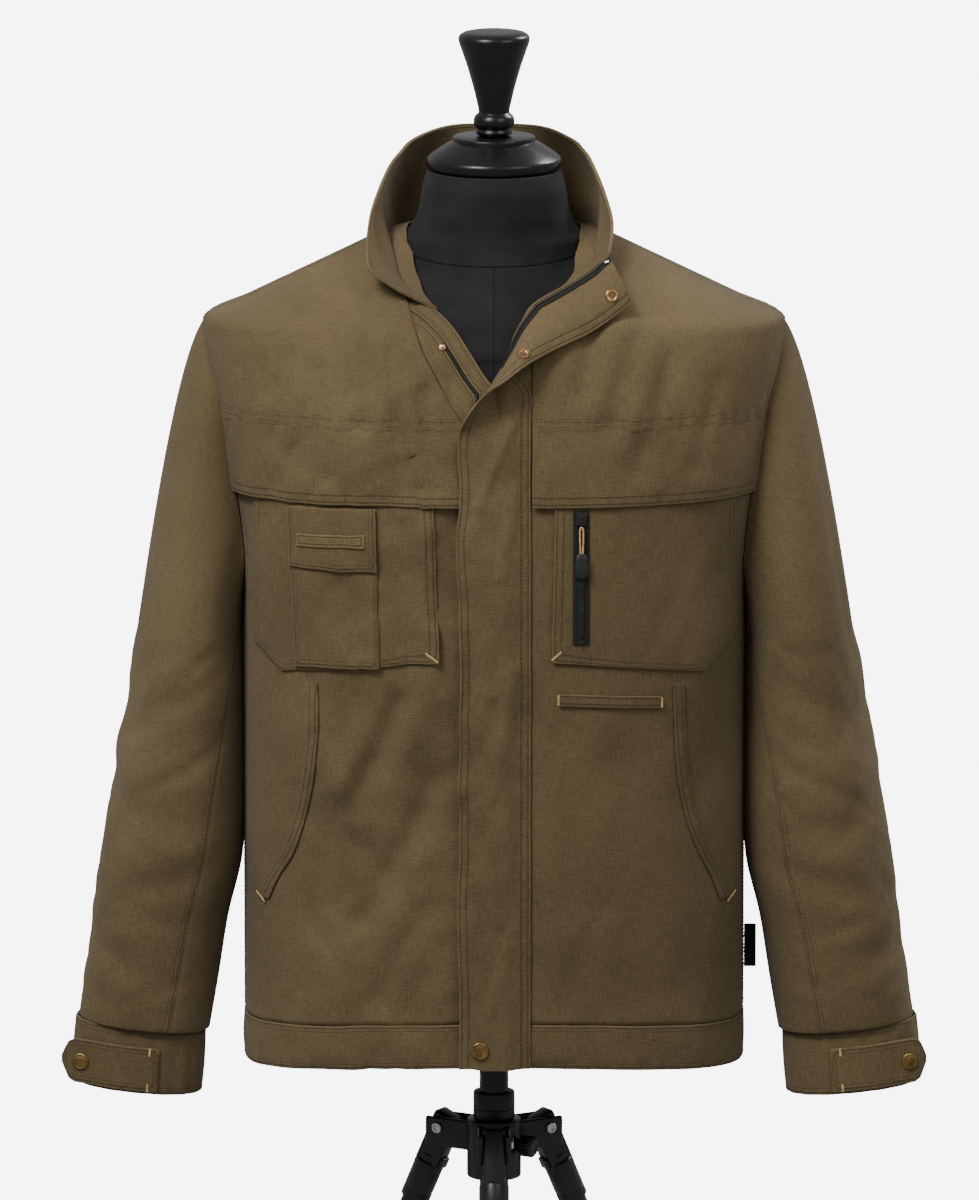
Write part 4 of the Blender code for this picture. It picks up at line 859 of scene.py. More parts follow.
# %% [markdown]
# ## Pockets
#
# A patch pocket is told by the x of its two sides at a few heights. In between, straight
# lines on the panel give the chamfered corner, and the grid follows the panel's angles.


# %% Patches on the front
def patch_grid(rows, side, lift, step=0.0045):
    """rows: height at the inner and outer edge, inner and outer x, from the bottom up."""
    rows = np.array(rows, float)
    run = np.concatenate(([0.0], np.cumsum(np.abs(np.diff(rows[:, 0])) + np.abs(np.diff(rows[:, 3])))))
    steps = np.unique(np.concatenate((spaced(0.0, run[-1], step), run)))
    inner_h, outer_h, inner_x, outer_x = (np.interp(steps, run, rows[:, k])[:, None] for k in range(4))
    t = np.linspace(0.0, 1.0, max(int((rows[:, 3] - rows[:, 2]).max() / step), 3) + 1)[None, :]
    height = inner_h + (outer_h - inner_h) * t
    first, last = angle_at(inner_x + 0 * t, height), angle_at(outer_x + 0 * t, height)
    angle = first + (last - first) * t
    points = lifted(body, side * angle, height, lift)
    return points[:, ::-1] if side < 0 else points


POCKET_LIFT = 0.0012
FOLDED = 0.0014  # the wall of a small piece whose edges are folded in
CHEST_POCKETS = (
    # name, side, inner_x_bottom, inner_x_top, outer_x, corner_x
    ("right", -1, 0.0475, 0.052, 0.2035, 0.18), ("left", 1, 0.049, 0.052, 0.2045, 0.178),
)
for name, side, bottom_x, top_x, outer_x, corner_x in CHEST_POCKETS:
    rows = ((0.3555, 0.34, bottom_x, corner_x), (0.361, 0.361, bottom_x, outer_x),
            (0.501, 0.501, top_x, outer_x))
    cloth("chest_pocket_" + name, patch_grid(rows, side, POCKET_LIFT + THIN), wall=THIN, sewn="blr",
          rows=TWO_ROWS)
PATCH_LIFT = POCKET_LIFT + THIN + LIFT
FLAP_LIFT = PATCH_LIFT + THIN + LIFT
rows = mm(((350.0, 346.0, 97.5, 167.5), (372.0, 372.0, 98.0, 168.4), (486.0, 486.0, 100.0, 172.0)))
cloth("patch_pocket", patch_grid(rows, -1, PATCH_LIFT + THIN, 0.004), wall=THIN, sewn="blr")
rows = mm(((432.0, 433.5, 98.5, 172.0), (486.0, 486.0, 100.0, 172.8)))
cloth("patch_pocket_flap", patch_grid(rows, -1, FLAP_LIFT + FOLDED, 0.004), wall=FOLDED, sewn="blr")
rows = mm(((453.0, 452.0, 108.5, 163.5), (464.0, 463.0, 108.5, 163.5)))
cloth("woven_patch", patch_grid(rows, -1, FLAP_LIFT + FOLDED + 0.0013, 0.002), "woven_patch", wall=0.0009,
      sewn="blrt", stitches=False)
rows = mm(((318.0, 312.0, 55.0, 142.0), (328.5, 322.5, 55.0, 142.0)))
cloth("welt_pocket", patch_grid(rows, 1, LIFT + FOLDED, 0.0022), wall=FOLDED, sewn="bt")
print("pockets cut")

# %% Hand pocket facings
HAND_POCKETS = mm((
    # height, x_right, x_left
    (141, 201.5, 202), (160, 193, 195), (182.6, 180, 184), (215.8, 169, 172), (253, 162, 165),
    (298, 158.5, 162), (333, 158.5, 161),
))
for column, (side, name) in enumerate(SIDES, 1):
    height = spaced(HAND_POCKETS[0][0], HAND_POCKETS[-1][0], 0.004)
    outer = eased(HAND_POCKETS, column)(height)
    rows = [(h, h, x - 0.009, x) for h, x in zip(height, outer)]
    cloth("hand_pocket_" + name, patch_grid(rows, side, LIFT + THIN, 0.003), wall=THIN,
          sewn="l" if side < 0 else "r", rows=(ROW_NEAR, 0.007))
print("hand pockets cut")

# %% [markdown]
# ## Storm flap
#
# The flap is sewn beside the zip on the wearer's left. It lies over the closed zip and turns
# outward above it, so its underside shows beside the open collar. A few rows of points tell
# its course, and a smooth curve through them in both directions gives the sheet.

# %% Curves through points
FLAP_TURN = mm((
    # zip_height, free_x, free_y, free_height
    (570, -25, -144, 564), (590, -9.5, -150, 586), (606, 9, -151, 599), (622, 25, -143, 610.5),
    (638, 42, -129, 618.5), (652, 62, -117, 626.5), (673, 80, -109, 634), (684, 100, -102, 646),
    (696, 116.5, -96, 658.8),
))
COLLAR_TOP = mm((
    # x, y, height
    (-107, -85, 685), (-108.5, -55, 702), (-104, -23, 727), (-91, 20, 754), (-80, 39.1, 766.3),
    (-67, 56, 776), (-38, 82, 782.6), (0, 89, 783), (40, 82, 782), (66.2, 56, 775), (75.3, 41.1, 769),
    (82.6, 25, 761.2), (93.7, -10, 739.8), (100.6, -42, 717.7), (97.5, -74, 696),
))
FLAP_ROOT = 0.031
FLAP_FREE = -0.03
COLLAR_END = 0.662


def through(points, pieces):
    """A smooth curve through rows of points along the first axis."""
    points = np.asarray(points, float)
    padded = np.concatenate((points[:1], points, points[-1:]))
    result = []
    for i in range(1, len(points)):
        before, start, end, after = padded[i - 1:i + 3]
        for k in range(pieces):
            t = k / pieces
            bend = (2 * before - 5 * start + 4 * end - after) * t * t
            result.append(0.5 * (2 * start + (end - before) * t + bend
                                 + (3 * start - before - 3 * end + after) * t**3))
    result.append(points[-1])
    return np.array(result)


SEAM_RISE = np.array((0.0, 0.0, 0.0022))


def collar_seam():
    right = [body(-angle_at(zip_edge(-1, h), h), h) + SEAM_RISE for h in (0.65, 0.661, 0.672, 0.69)]
    back = [body(a, 0.7045) for a in (-92.0, -118.0, -150.0, 180.0, 150.0, 118.0, 92.0)]
    left = [body(angle_at(zip_edge(1, h), h), h) + SEAM_RISE for h in (0.696, 0.686, 0.675, 0.662)]
    return np.array(right + back + left)


def collar_course(low, high, t):
    point = low * (1.0 - t) + high * t
    outward = unit((point - (0.0, POLE, 0.0)) * (1.0, 1.0, 0.0))
    return point + outward * 0.006 * math.sin(math.pi * t)


SEAM_POINTS = collar_seam()
TOP_POINTS = np.array([stacked(*row) for row in COLLAR_TOP])


def flap_lift(x):
    return LIFT + THIN / 2 + 0.0042 * soft((FLAP_ROOT - x) / 0.022)


def zip_course(height):
    if height <= COLLAR_END:
        return front(zip_edge(1, height), height, 0.005)
    t = (height - COLLAR_END) / (COLLAR_TOP[-1][2] - COLLAR_END)
    return collar_course(SEAM_POINTS[-1], TOP_POINTS[-1], t) + (0.0, -0.0042, 0.0)


def turned_point(index, t):
    zip_height, x, y, height = FLAP_TURN[index]
    arch = np.array((0.0, -0.0065, 0.002)) * math.sin(math.pi * t) * float(soft(index / 3.0))
    return zip_course(zip_height) * (1.0 - t) + stacked(x, y, height) * t + arch


print("collar seam of", len(SEAM_POINTS), "points")

# %% Storm flap
FLAP_TUCK = np.array((0.006, 0.003, -0.001))
FLAP_FOLDS = mm((
    # x1, height1, x2, height2, spread, depth
    (15, 560, -14, 490, 7, 2.2), (18, 500, 6, 430, 7, 1.4), (-16, 430, 0, 330, 8, 1.6),
    (16, 350, 2, 240, 8, 1.4), (-14, 230, 4, 130, 8, 1.6), (14, 120, -2, 50, 7, 1.2),
))
flap_rows = []
across = np.array((FLAP_ROOT, 0.0265, 0.021, 0.011, 0.001, -0.009, -0.02, FLAP_FREE))
for height in np.concatenate(([0.0005], np.linspace(0.022, 0.548, 27))):
    flap_rows.append(front(across, height, flap_lift(across) + 0.00065))
for index, (zip_height, x, y, height) in enumerate(FLAP_TURN):
    zip_point = turned_point(index, 0.0)
    back_up = unit(zip_point - turned_point(index, 1.0))
    row = []
    for t in (1.0, 0.83, 0.66, 0.3):
        if index <= 1:
            row.append(front(FLAP_ROOT * t, zip_height - 0.004, flap_lift(FLAP_ROOT * t)))
        elif index == 2:
            row.append(zip_point + FLAP_TUCK * t)
        else:
            row.append(zip_point + back_up * 0.0025 * t)
    row += [turned_point(index, t) for t in (0.0, 0.33, 0.66, 1.0)]
    flap_rows.append(np.array(row))
flap_grid = through(np.array(flap_rows), 8)
flap_grid = through(flap_grid.transpose(1, 0, 2), 4).transpose(1, 0, 2)[:, ::-1]
flap_swell = np.zeros(flap_grid.shape[:2])
for *line, spread, depth in FLAP_FOLDS:
    flap_swell -= trough(flap_grid[..., 0], flap_grid[..., 2] - HEM, line, spread, depth)
flap_grid += grid_normals(flap_grid) * (flap_swell * soft((FLAP_ROOT - flap_grid[..., 0]) / 0.015))[..., None]
cloth("storm_flap", flap_grid, sewn="lr", rows=TWO_ROWS)
print("storm flap", flap_grid.shape)


# %% Turned part of the flap, as a surface of its own
def turned_flap(row, along):
    """A point and the seen side's normal on the turned flap."""
    low = min(int(row), len(FLAP_TURN) - 2)

    def at(r, t):
        return turned_point(low, t) * (1 - (r - low)) + turned_point(low + 1, t) * (r - low)

    climb = at(row + 0.1, along) - at(row - 0.1, along)
    across = at(row, min(along + 0.1, 1.0)) - at(row, max(along - 0.1, 0.0))
    normal = unit(np.cross(across, climb))
    return at(row, along), normal if normal[2] > 0.0 else -normal


# %% [markdown]
# ## Collar
#
# A stand collar is a double strip, about 55 mm high. Its seam follows the neckline and its
# top edge leans outward. The roll at the top is what catches the light.

# %% Collar
low = through(SEAM_POINTS, 9)
high = through(TOP_POINTS, 9)
levels = np.linspace(0.0, 1.0, 14)
share = np.linspace(0.0, 1.0, len(low))
tucked = low - np.outer(soft(share / 0.15) * soft((1.0 - share) / 0.15), (0.0, 0.0, 0.005))
collar_grid = np.array([collar_course(low, high, t) for t in levels])
along = measured(collar_grid)[0]
slack = rumple(along, levels[:, None] * 0.055 + 0.4, 4.0, 0.002)
slack = slack * np.sin(np.pi * np.clip(levels, 0.0, 0.9) / 0.9)[:, None]
collar_grid = collar_grid + grid_normals(collar_grid) * slack[..., None]
collar_grid = np.concatenate((tucked[None], collar_grid))
collar_out = collar_grid + grid_normals(collar_grid) * 0.0014
cloth("collar", collar_out, wall=0.003, sewn="lrt")
print("collar", collar_out.shape)

# %% [markdown]
# ## Sleeves and cuffs
#
# A sleeve is a tube that starts at the armhole and hangs down, cut in a top sleeve and an
# under sleeve. Creases run across its front at the elbow and lower down, as in the
# photograph, and similar ones are placed at the back.

# %% The sleeve surface
SLEEVE_RINGS = mm((
    # height, inner, outer, half_depth, centre_y
    (16, 245.5, 358.5, 50, -10), (58, 238, 354, 56.5, -8), (109, 229.5, 347.5, 62, -6),
    (167, 216.2, 339, 67, -3), (225, 213.5, 330, 71, 0), (312, 213.5, 315, 77, 4), (360, 214, 306, 80, 6),
))
SLEEVE_ROUND = 2.0 / 2.2
SLEEVE_TOP = 0.36
SLEEVE_END = 0.016
FRONT_SEAM = ((0.016, 112.0), (0.119, 114.0), (0.207, 119.0), (0.312, 138.0), (0.36, 152.0))
BACK_SEAM = 128.0
SLEEVE_CREASES = (
    # height, angle, tilt, spread, depth, reach
    (0.3, 70.0, 0.35, 0.02, 0.003, 48.0), (0.215, 35.0, -0.3, 0.02, 0.003, 48.0),
    (0.15, 95.0, 0.3, 0.018, 0.0032, 48.0), (0.08, 50.0, -0.25, 0.018, 0.003, 48.0),
    (0.33, 290.0, -0.35, 0.022, 0.0034, 48.0), (0.19, 275.0, 0.3, 0.02, 0.0034, 48.0),
    (0.1, 300.0, -0.3, 0.018, 0.003, 48.0), (0.258, 110.0, 0.55, 0.011, 0.0016, 30.0),
    (0.235, 75.0, 0.4, 0.01, 0.0014, 26.0), (0.18, 60.0, -0.45, 0.01, 0.0014, 28.0),
    (0.118, 80.0, -0.35, 0.009, 0.0014, 26.0), (0.05, 95.0, 0.3, 0.009, 0.0013, 26.0),
    (0.045, 40.0, -0.2, 0.008, 0.0012, 24.0), (0.275, 30.0, 0.3, 0.01, 0.0012, 24.0),
    (0.34, 100.0, 0.6, 0.01, 0.0013, 26.0), (0.26, 265.0, 0.4, 0.011, 0.0018, 30.0),
    (0.215, 300.0, -0.4, 0.01, 0.0016, 28.0), (0.145, 265.0, -0.35, 0.01, 0.0016, 28.0),
    (0.06, 280.0, 0.25, 0.009, 0.0014, 28.0), (0.13, 10.0, 0.3, 0.01, 0.0011, 24.0),
    (0.07, 350.0, -0.25, 0.009, 0.001, 24.0), (0.3, 345.0, 0.3, 0.011, 0.0012, 26.0),
)
sleeve_inner, sleeve_outer, sleeve_depth, sleeve_centre = (eased(SLEEVE_RINGS, k) for k in (1, 2, 3, 4))
front_seam = eased(FRONT_SEAM, 1)


def sleeve_push(side, height, angle):
    push = np.zeros(np.broadcast(height, angle).shape)
    around = sind(angle)
    push = push + rumple(0.11 * around + 0.02 * cosd(angle), height * 1.3, 1.0 + side, 0.0026)
    for number, (crease_height, crease_angle, tilt, spread, depth, reach) in enumerate(SLEEVE_CREASES):
        shift = 0.0 if side < 0 or number < 7 else 0.013 * math.sin(number * 2.3)
        around = (angle - crease_angle + 180.0) % 360.0 - 180.0
        away = ((height - crease_height - shift - tilt * np.radians(around) * 0.07) / spread) ** 2
        push = push - depth * np.exp(-(around / reach) ** 2) * (1.0 - 0.5 * away) * np.exp(-away)
    return push


def sleeve_ring(side, height, angle):
    """Angle 0 is the sleeve's outer side, 90 its front. Lower rings tilt like the cuff."""
    inner, outer = sleeve_inner(height), sleeve_outer(height) + (0.004 if side > 0 else 0.0)
    cosine, sine = cosd(angle), sind(angle)
    push = sleeve_push(side, height, angle) * soft((height - SLEEVE_END) / 0.02)
    middle, reach = (inner + outer) / 2, (outer - inner) / 2
    x = middle + (reach + push * soft((cosine + 0.5) / 0.4)) * signed_power(cosine, SLEEVE_ROUND)
    y = sleeve_centre(height) - (sleeve_depth(height) + push) * signed_power(sine, SLEEVE_ROUND)
    tilt = 0.1 * soft(1.0 - height / 0.2)
    return stacked(side * x, y, height + tilt * (x - middle))


def sleeve_head(side, t, angle):
    """From the armhole (t = 0) down to the first full ring (t = 1)."""
    cosine = cosd(angle)
    height = (SHOULDER + UNDERARM) / 2 + (SHOULDER - UNDERARM) / 2 * cosine
    height = np.clip(height, UNDERARM + 0.0003, SHOULDER - 0.0003)
    behind = sind(angle) < 0.0
    edge = np.where(behind, armhole_angle(height, True), armhole_angle(height, False))
    start = body(side * edge, height)
    start[..., 0] += side * 0.0003
    start[..., 2] -= 0.0006 * (1.0 - cosine) / 2
    end = sleeve_ring(side, SLEEVE_TOP + 0.0 * t, angle)
    raised = ((1.0 + cosine) / 2)[..., None]
    share = np.concatenate((0.62 - 0.2 * raised, 0.78 + 0.0 * raised, 0.5 - 0.39 * raised), axis=-1)
    middle = start + (end - start) * share
    t = t[..., None]
    wrinkle = -0.0016 * np.sin(t[..., 0] * np.pi) * np.sin(np.radians(angle) * 6.0 + 1.0)
    wrinkle = wrinkle * (1.0 - raised[..., 0])
    point = start * (1 - t) ** 2 + middle * 2 * t * (1 - t) + end * t * t
    point[..., 1] -= wrinkle * np.sign(sind(angle))
    return point


def sleeve(side):
    """level 0 to 1 is the sleeve head, 1 to 2 the hanging tube down to the cuff."""
    def surface(angle, level):
        angle, level = np.broadcast_arrays(np.asarray(angle, float), np.asarray(level, float))
        head = sleeve_head(side, np.clip(level, 0.0, 1.0), angle)
        tube_height = SLEEVE_TOP + (SLEEVE_END - SLEEVE_TOP) * np.clip(level - 1.0, 0.0, 1.0)
        tube = sleeve_ring(side, tube_height, angle)
        return np.where(level[..., None] <= 1.0, head, tube)

    return surface


print("sleeve creases", len(SLEEVE_CREASES))

# %% Sleeves
sleeve_levels = np.concatenate((np.linspace(0.0, 1.0, 44), np.linspace(1.0, 2.0, 74)[1:]))
for side, name in SIDES:
    level = sleeve_levels[:, None]
    seam = front_seam(SLEEVE_TOP + (SLEEVE_END - SLEEVE_TOP) * np.clip(level - 1.0, 0.0, 1.0))
    for part, first, last, count in (("sleeve_top_", -BACK_SEAM + 0.1, seam - 0.1, 54),
                                     ("sleeve_under_", seam + 0.1, 360.0 - BACK_SEAM - 0.1, 30)):
        angle = first + (last - first) * np.linspace(0.0, 1.0, count + 1)[None, :]
        grid = sleeve(side)(angle, level)
        grid = grid[::-1] if side < 0 else grid[::-1, ::-1]
        cloth(part + name, grid, sewn="lr" if part == "sleeve_top_" else "")
print("sleeves cut")


# %% Cuffs
CUFF_TOP = 0.0158
CUFF_FOOT = -0.04
CUFF_CENTRE = (0.306, -0.011)
CUFF_TILT = 0.1


def cuff(side):
    def surface(angle, height):
        inner, outer = 0.249 + 0.07 * (CUFF_TOP - height), 0.361 + 0.07 * (CUFF_TOP - height)
        outer = outer + (0.004 if side > 0 else 0.0)
        middle, reach = (inner + outer) / 2, (outer - inner) / 2
        x = middle + reach * signed_power(cosd(angle), SLEEVE_ROUND)
        y = CUFF_CENTRE[1] - 0.044 * signed_power(sind(angle), SLEEVE_ROUND)
        return stacked(side * x, y, height + CUFF_TILT * (x - middle))

    return surface


CUFF_FACES = {}
CUFF_BARTACKS = []
CUFF_TAB_X = 0.3725
TAB_ANGLES = (106.0, 98.0, 90.0, 83.0, 76.0, 70.0, 64.0, 59.0, 54.0)
TAB_SIDES = (0.001, -0.0375)
TAB_TIP = (
    # reach, (top, bottom)
    (0.14, TAB_SIDES), (0.28, TAB_SIDES), (0.45, TAB_SIDES), (0.62, TAB_SIDES), (0.71, (-0.0004, -0.036)),
    (0.8, (-0.002, -0.0345)), (0.9, (-0.008, -0.028)), (1.0, (-0.015, -0.021)),
)
for side, name in SIDES:
    height = spaced(CUFF_FOOT, CUFF_TOP, 0.0045)[:, None]
    angle = np.linspace(0.0, 360.0, 97)[None, :]
    puff = 0.0008 * np.sin(np.pi * (height + 0.04) / 0.0558) + 0.0004 * np.sin(np.radians(angle) * 17.0)
    around = lifted(cuff(side), angle, height, -side * puff)
    cloth("cuff_" + name, around if side < 0 else around[:, ::-1], wall=DOUBLE, sewn="bt",
          tube=True)

    def tab_line(h):
        line = cuff(side)(np.array(TAB_ANGLES), h)
        line = line + unit((line - stacked(side * CUFF_CENTRE[0], CUFF_CENTRE[1], h)) * (1, 1, 0)) * 0.0007
        way = unit(unit((line[-1] - line[-3]) * (1, 1, 0)) * 0.75 + (side * 0.6, 0.0, 0.0))
        reach = (side * CUFF_TAB_X - line[-1][0]) / way[0]
        return np.concatenate((line, [line[-1] + way * reach * share for share, _ in TAB_TIP]))

    edges = [TAB_SIDES] * len(TAB_ANGLES) + [ends for _, ends in TAB_TIP]
    tab = []
    for t in np.linspace(0.0, 1.0, 10):
        row = []
        for k, (top, bottom) in enumerate(edges):
            h = bottom + (top - bottom) * t
            point = tab_line(h)[k]
            point[2] = HEM + h + CUFF_TILT * (abs(point[0]) - CUFF_CENTRE[0])
            row.append(point)
        tab.append(row)
    tab = np.array(tab)
    tab = tab if side > 0 else tab[:, ::-1]
    tab_normals = grid_normals(tab)
    tab = tab + tab_normals * 0.0026
    snap_column = len(TAB_ANGLES) + 2 if side > 0 else tab.shape[1] - len(TAB_ANGLES) - 3
    CUFF_FACES[name] = Vector(tab_normals[5, snap_column])
    column = 1 if side > 0 else -2
    for edge, within in ((0, 2), (-1, -3)):
        CUFF_BARTACKS.append((tab[edge, column], tab[edge, column] * 0.2 + tab[within, column] * 0.8,
                              tab_normals[edge, column]))
    cloth("cuff_tab_" + name, tab, wall=0.0026, sewn="lrbt")
print("cuffs cut")

# %% [markdown]
# ## Zips
#
# A zip is two woven tapes with a row of small moulded teeth on each. The teeth are far too
# many to model one by one, so one tooth is made from a cube and repeated along a line into a
# single mesh.


# %% One shape repeated along many places
BAND_FACES = [(8, 9, 10, 11)] + [(low + k, low + (k + 1) % 4, low + 4 + (k + 1) % 4, low + 4 + k)
                                 for low in (0, 4) for k in range(4)]


def copies(name, shape_points, shape_faces, places, material=BLACK_PLASTIC):
    """Join copies of one small shape; places holds an origin and three axes for each."""
    points = [origin + np.array(shape_points) @ axes for origin, axes in places]
    faces = []
    for start in range(0, len(places) * len(shape_points), len(shape_points)):
        faces += [tuple(start + k for k in face) for face in shape_faces]
    finish_piece(new_piece(name, points, faces), material, MAIN, "zip_black")


def rounded_block(width, length, height):
    """A block on z = 0 with its four upper edges cut back."""
    a, b, c = width / 2, length / 2, height
    k = min(width, length) * 0.22
    points = [(-a, -b, 0), (a, -b, 0), (a, b, 0), (-a, b, 0), (-a, -b, c - k), (a, -b, c - k), (a, b, c - k),
              (-a, b, c - k), (-a + k, -b + k, c), (a - k, -b + k, c), (a - k, b - k, c), (-a + k, b - k, c)]
    return points, [(3, 2, 1, 0)] + BAND_FACES


def tooth_places(line, normals, pitch, shift):
    """Places every pitch along a line, moved sideways by shift, turned to follow it."""
    run = run_along(line)
    places = []
    for at in np.arange(pitch, run[-1] - pitch, pitch):
        along = unit(read_at(line, run, at + 0.001) - read_at(line, run, at - 0.001))
        side = unit(np.cross(along, read_at(normals, run, at)))
        places.append((read_at(line, run, at) + side * shift, np.array((side, along, np.cross(side, along)))))
    return places


TOOTH_PITCH = 0.0017
FRONT_TOOTH_PITCH = 0.0019
TOOTH = rounded_block(0.0024, 0.0011, 0.0011)
print("one tooth has", len(TOOTH[1]), "faces")

# %% Pocket zip
ZIP_X = 0.0735
ZIP_HALF = 0.0068
ZIP_FOOT, ZIP_HEAD = 0.371, 0.4865
ZIP_LIFT = POCKET_LIFT + THIN + 0.0004 + 0.0008
rows = [(h, h, ZIP_X - ZIP_HALF, ZIP_X + ZIP_HALF) for h in spaced(ZIP_FOOT, ZIP_HEAD, 0.006)]
cloth("pocket_zip_tape", patch_grid(rows, 1, ZIP_LIFT, 0.0025), "zip_black", wall=TAPE_WALL, sewn="lr",
      rows=TAPE_ROW, stitches=False)
height = spaced(ZIP_FOOT + 0.003, 0.474, 0.003)
line = front(ZIP_X, height, ZIP_LIFT)
normals = front(ZIP_X, height, ZIP_LIFT + 0.001) - line
for first, (side, name) in enumerate(SIDES):
    places = tooth_places(line[first:], normals[first:], TOOTH_PITCH, side * 0.0011)
    copies("pocket_zip_teeth_" + name, *TOOTH, places)
print("pocket zip", len(places), "teeth a side")

# %% Front zip above the flap's turn
def flap_strip(first_row, last_row, reaches, lift, count):
    grid = []
    for row in np.linspace(first_row, last_row, count):
        width = np.linalg.norm(turned_flap(row, 1.0)[0] - turned_flap(row, 0.0)[0])
        line = []
        for reach in reaches:
            point, normal = turned_flap(row, reach / width)
            line.append(point + normal * lift)
        grid.append(line)
    return np.array(grid)


tape_grid = flap_strip(2.0, 8.0, (0.0064, 0.0042, 0.002), 0.0024, 60)
tape_grid = tape_grid if grid_normals(tape_grid)[30, 1][2] > 0.0 else tape_grid[:, ::-1]
cloth("zip_tape_left", tape_grid, "zip_black", wall=TAPE_WALL, sewn="lr", rows=TAPE_ROW,
      stitches=False)
edge_line = flap_strip(2.1, 7.6, (0.003, 0.002), 0.0026, 60)
normals = grid_normals(tape_grid)[:, 1]
copies("front_zip_teeth_left", *TOOTH, tooth_places(edge_line[:, 1], normals, FRONT_TOOTH_PITCH, 0.0))
heights = spaced(0.566, 0.656, 0.002)
start = zip_edge(-1, heights)
rows = [(h, h - 0.006, s + 0.0008, s + 0.012) for h, s in zip(heights, start)]
cloth("front_edge_right", patch_grid(rows, -1, LIFT + THIN, 0.002), wall=THIN, sewn="lr")
rows = [(h - 0.006, h - 0.0075, s + 0.0121, s + 0.0153) for h, s in zip(heights, start)][:34]
tape_grid = patch_grid(rows, -1, LIFT + 0.0008, 0.0008)
cloth("zip_tape_right", tape_grid, "zip_black", wall=0.0006, sewn="lr", rows=TAPE_ROW,
      stitches=False)
crease_x = np.interp(heights - 0.016, *CREASE_LINE) - 0.0013
rows = [(h - 0.0075, h - 0.016, s + 0.0154, x) for h, s, x in zip(heights, start, crease_x) if x > s + 0.018]
cloth("placket_right", patch_grid(rows, -1, LIFT + THIN, 0.002), wall=THIN, sewn="r",
      stands_for_node=False)
middle = tape_grid.shape[1] // 2
line, normals = tape_grid[:, middle], grid_normals(tape_grid)[:, middle]
copies("front_zip_teeth_right", *TOOTH, tooth_places(line, normals, FRONT_TOOTH_PITCH, 0.0))
print("front zip tapes")

# %% [markdown]
# ## Turned and boxed parts
#
# The finial, the snap caps and the stand are turned or milled. A circle is extruded upward
# and resized once for every row of its profile, as on a lathe. Boxes start as a cube whose
# edges are rounded.


# %% Lathe and block
def placed(point, normal=(0.0, 0.0, 1.0)):
    turn = Vector((0.0, 0.0, 1.0)).rotation_difference(Vector(normal)).to_matrix().to_4x4()
    return Matrix.Translation(Vector(point)) @ turn


def pole(height):
    return Matrix.Translation((0.0, POLE, HEM + height))


def select_only(*pieces):
    bpy.ops.object.select_all(action="DESELECT")
    for piece in pieces:
        piece.select_set(True)
    bpy.context.view_layer.objects.active = pieces[0]


def open_mesh(name=None):
    """Start to edit the active object, with its whole mesh selected."""
    piece = bpy.context.active_object
    piece.name = name or piece.name
    bpy.ops.object.mode_set(mode="EDIT")
    bpy.ops.mesh.select_all(action="SELECT")
    return piece


def turned(name, profile, matrix, sides=48, bore=False):
    """Turn a solid from rows of height and radius; a bored one ends where it began."""
    bpy.ops.object.select_all(action="DESELECT")
    fill = "NOTHING" if bore else "NGON"
    bpy.ops.mesh.primitive_circle_add(vertices=sides, radius=profile[0][1], fill_type=fill)
    piece = open_mesh(name)
    bpy.ops.transform.translate(value=(0.0, 0.0, profile[0][0]))
    for (low, start), (high, end) in zip(profile, profile[1:]):
        bpy.ops.mesh.extrude_region_move(TRANSFORM_OT_translate={"value": (0.0, 0.0, high - low)})
        bpy.ops.transform.resize(value=(end / start, end / start, 1.0), center_override=(0.0, 0.0, high))
    bpy.ops.mesh.select_all(action="SELECT")
    if bore:
        bpy.ops.mesh.remove_doubles(threshold=0.000005)
    bpy.ops.mesh.normals_make_consistent(inside=False)
    bpy.ops.object.mode_set(mode="OBJECT")
    piece.data.transform(matrix)
    return piece


def boxed(name, size, matrix, rounding=0.001):
    bpy.ops.object.select_all(action="DESELECT")
    bpy.ops.mesh.primitive_cube_add(size=1.0)
    piece = open_mesh(name)
    bpy.ops.transform.resize(value=size)
    bpy.ops.mesh.bevel(offset=rounding, segments=3, affect="EDGES")
    bpy.ops.object.mode_set(mode="OBJECT")
    piece.data.transform(matrix)
    return piece


def join(pieces, name):
    select_only(*pieces)
    bpy.ops.object.join()
    pieces[0].name = name
    return pieces[0]


def finish_hard(piece, material, body_name, slot_name, *nodes, angle=35.0):
    finish_piece(piece, material, body_name, slot_name, *nodes)
    select_only(piece)
    bpy.ops.object.shade_smooth_by_angle(angle=math.radians(angle))


print("lathe ready")

# %% [markdown]
# ## Snaps
#
# The caps are antique brass, stamped with a raised rim and a dished middle. The sockets in
# the turned flap show their hollow side: a bright ring with a spring wire round the hole.

# %% Snap caps, sockets and stud
# height in metres, share of the radius
CAP_PROFILE = ((0.0, 0.9), (0.0004, 0.985), (0.0009, 1.0), (0.0014, 0.975), (0.0018, 0.9), (0.0019, 0.82),
               (0.00165, 0.74), (0.0016, 0.66), (0.0018, 0.58), (0.0021, 0.44), (0.00225, 0.24),
               (0.0023, 0.02))
RING_PROFILE = ((0.0, 0.9), (0.0004, 0.98), (0.0009, 1.0), (0.0015, 0.95), (0.0019, 0.84), (0.0019, 0.7),
                (0.0016, 0.62), (0.0011, 0.58), (0.001, 0.52), (0.0013, 0.47), (0.0013, 0.42), (0.0008, 0.38),
                (0.0004, 0.34), (0.0004, 0.02))
STUD_PROFILE = ((0.0, 0.95), (0.0003, 1.0), (0.0007, 0.96), (0.0008, 0.62), (0.0012, 0.52), (0.0018, 0.6),
                (0.0023, 0.56), (0.0025, 0.35), (0.0026, 0.02))


def snap(name, seat, normal, radius, profile, material):
    rows = [(height, scale * radius) for height, scale in profile]
    finish_hard(turned(name, rows, placed(seat, normal), 40), material, MAIN, "snap_brass", name)


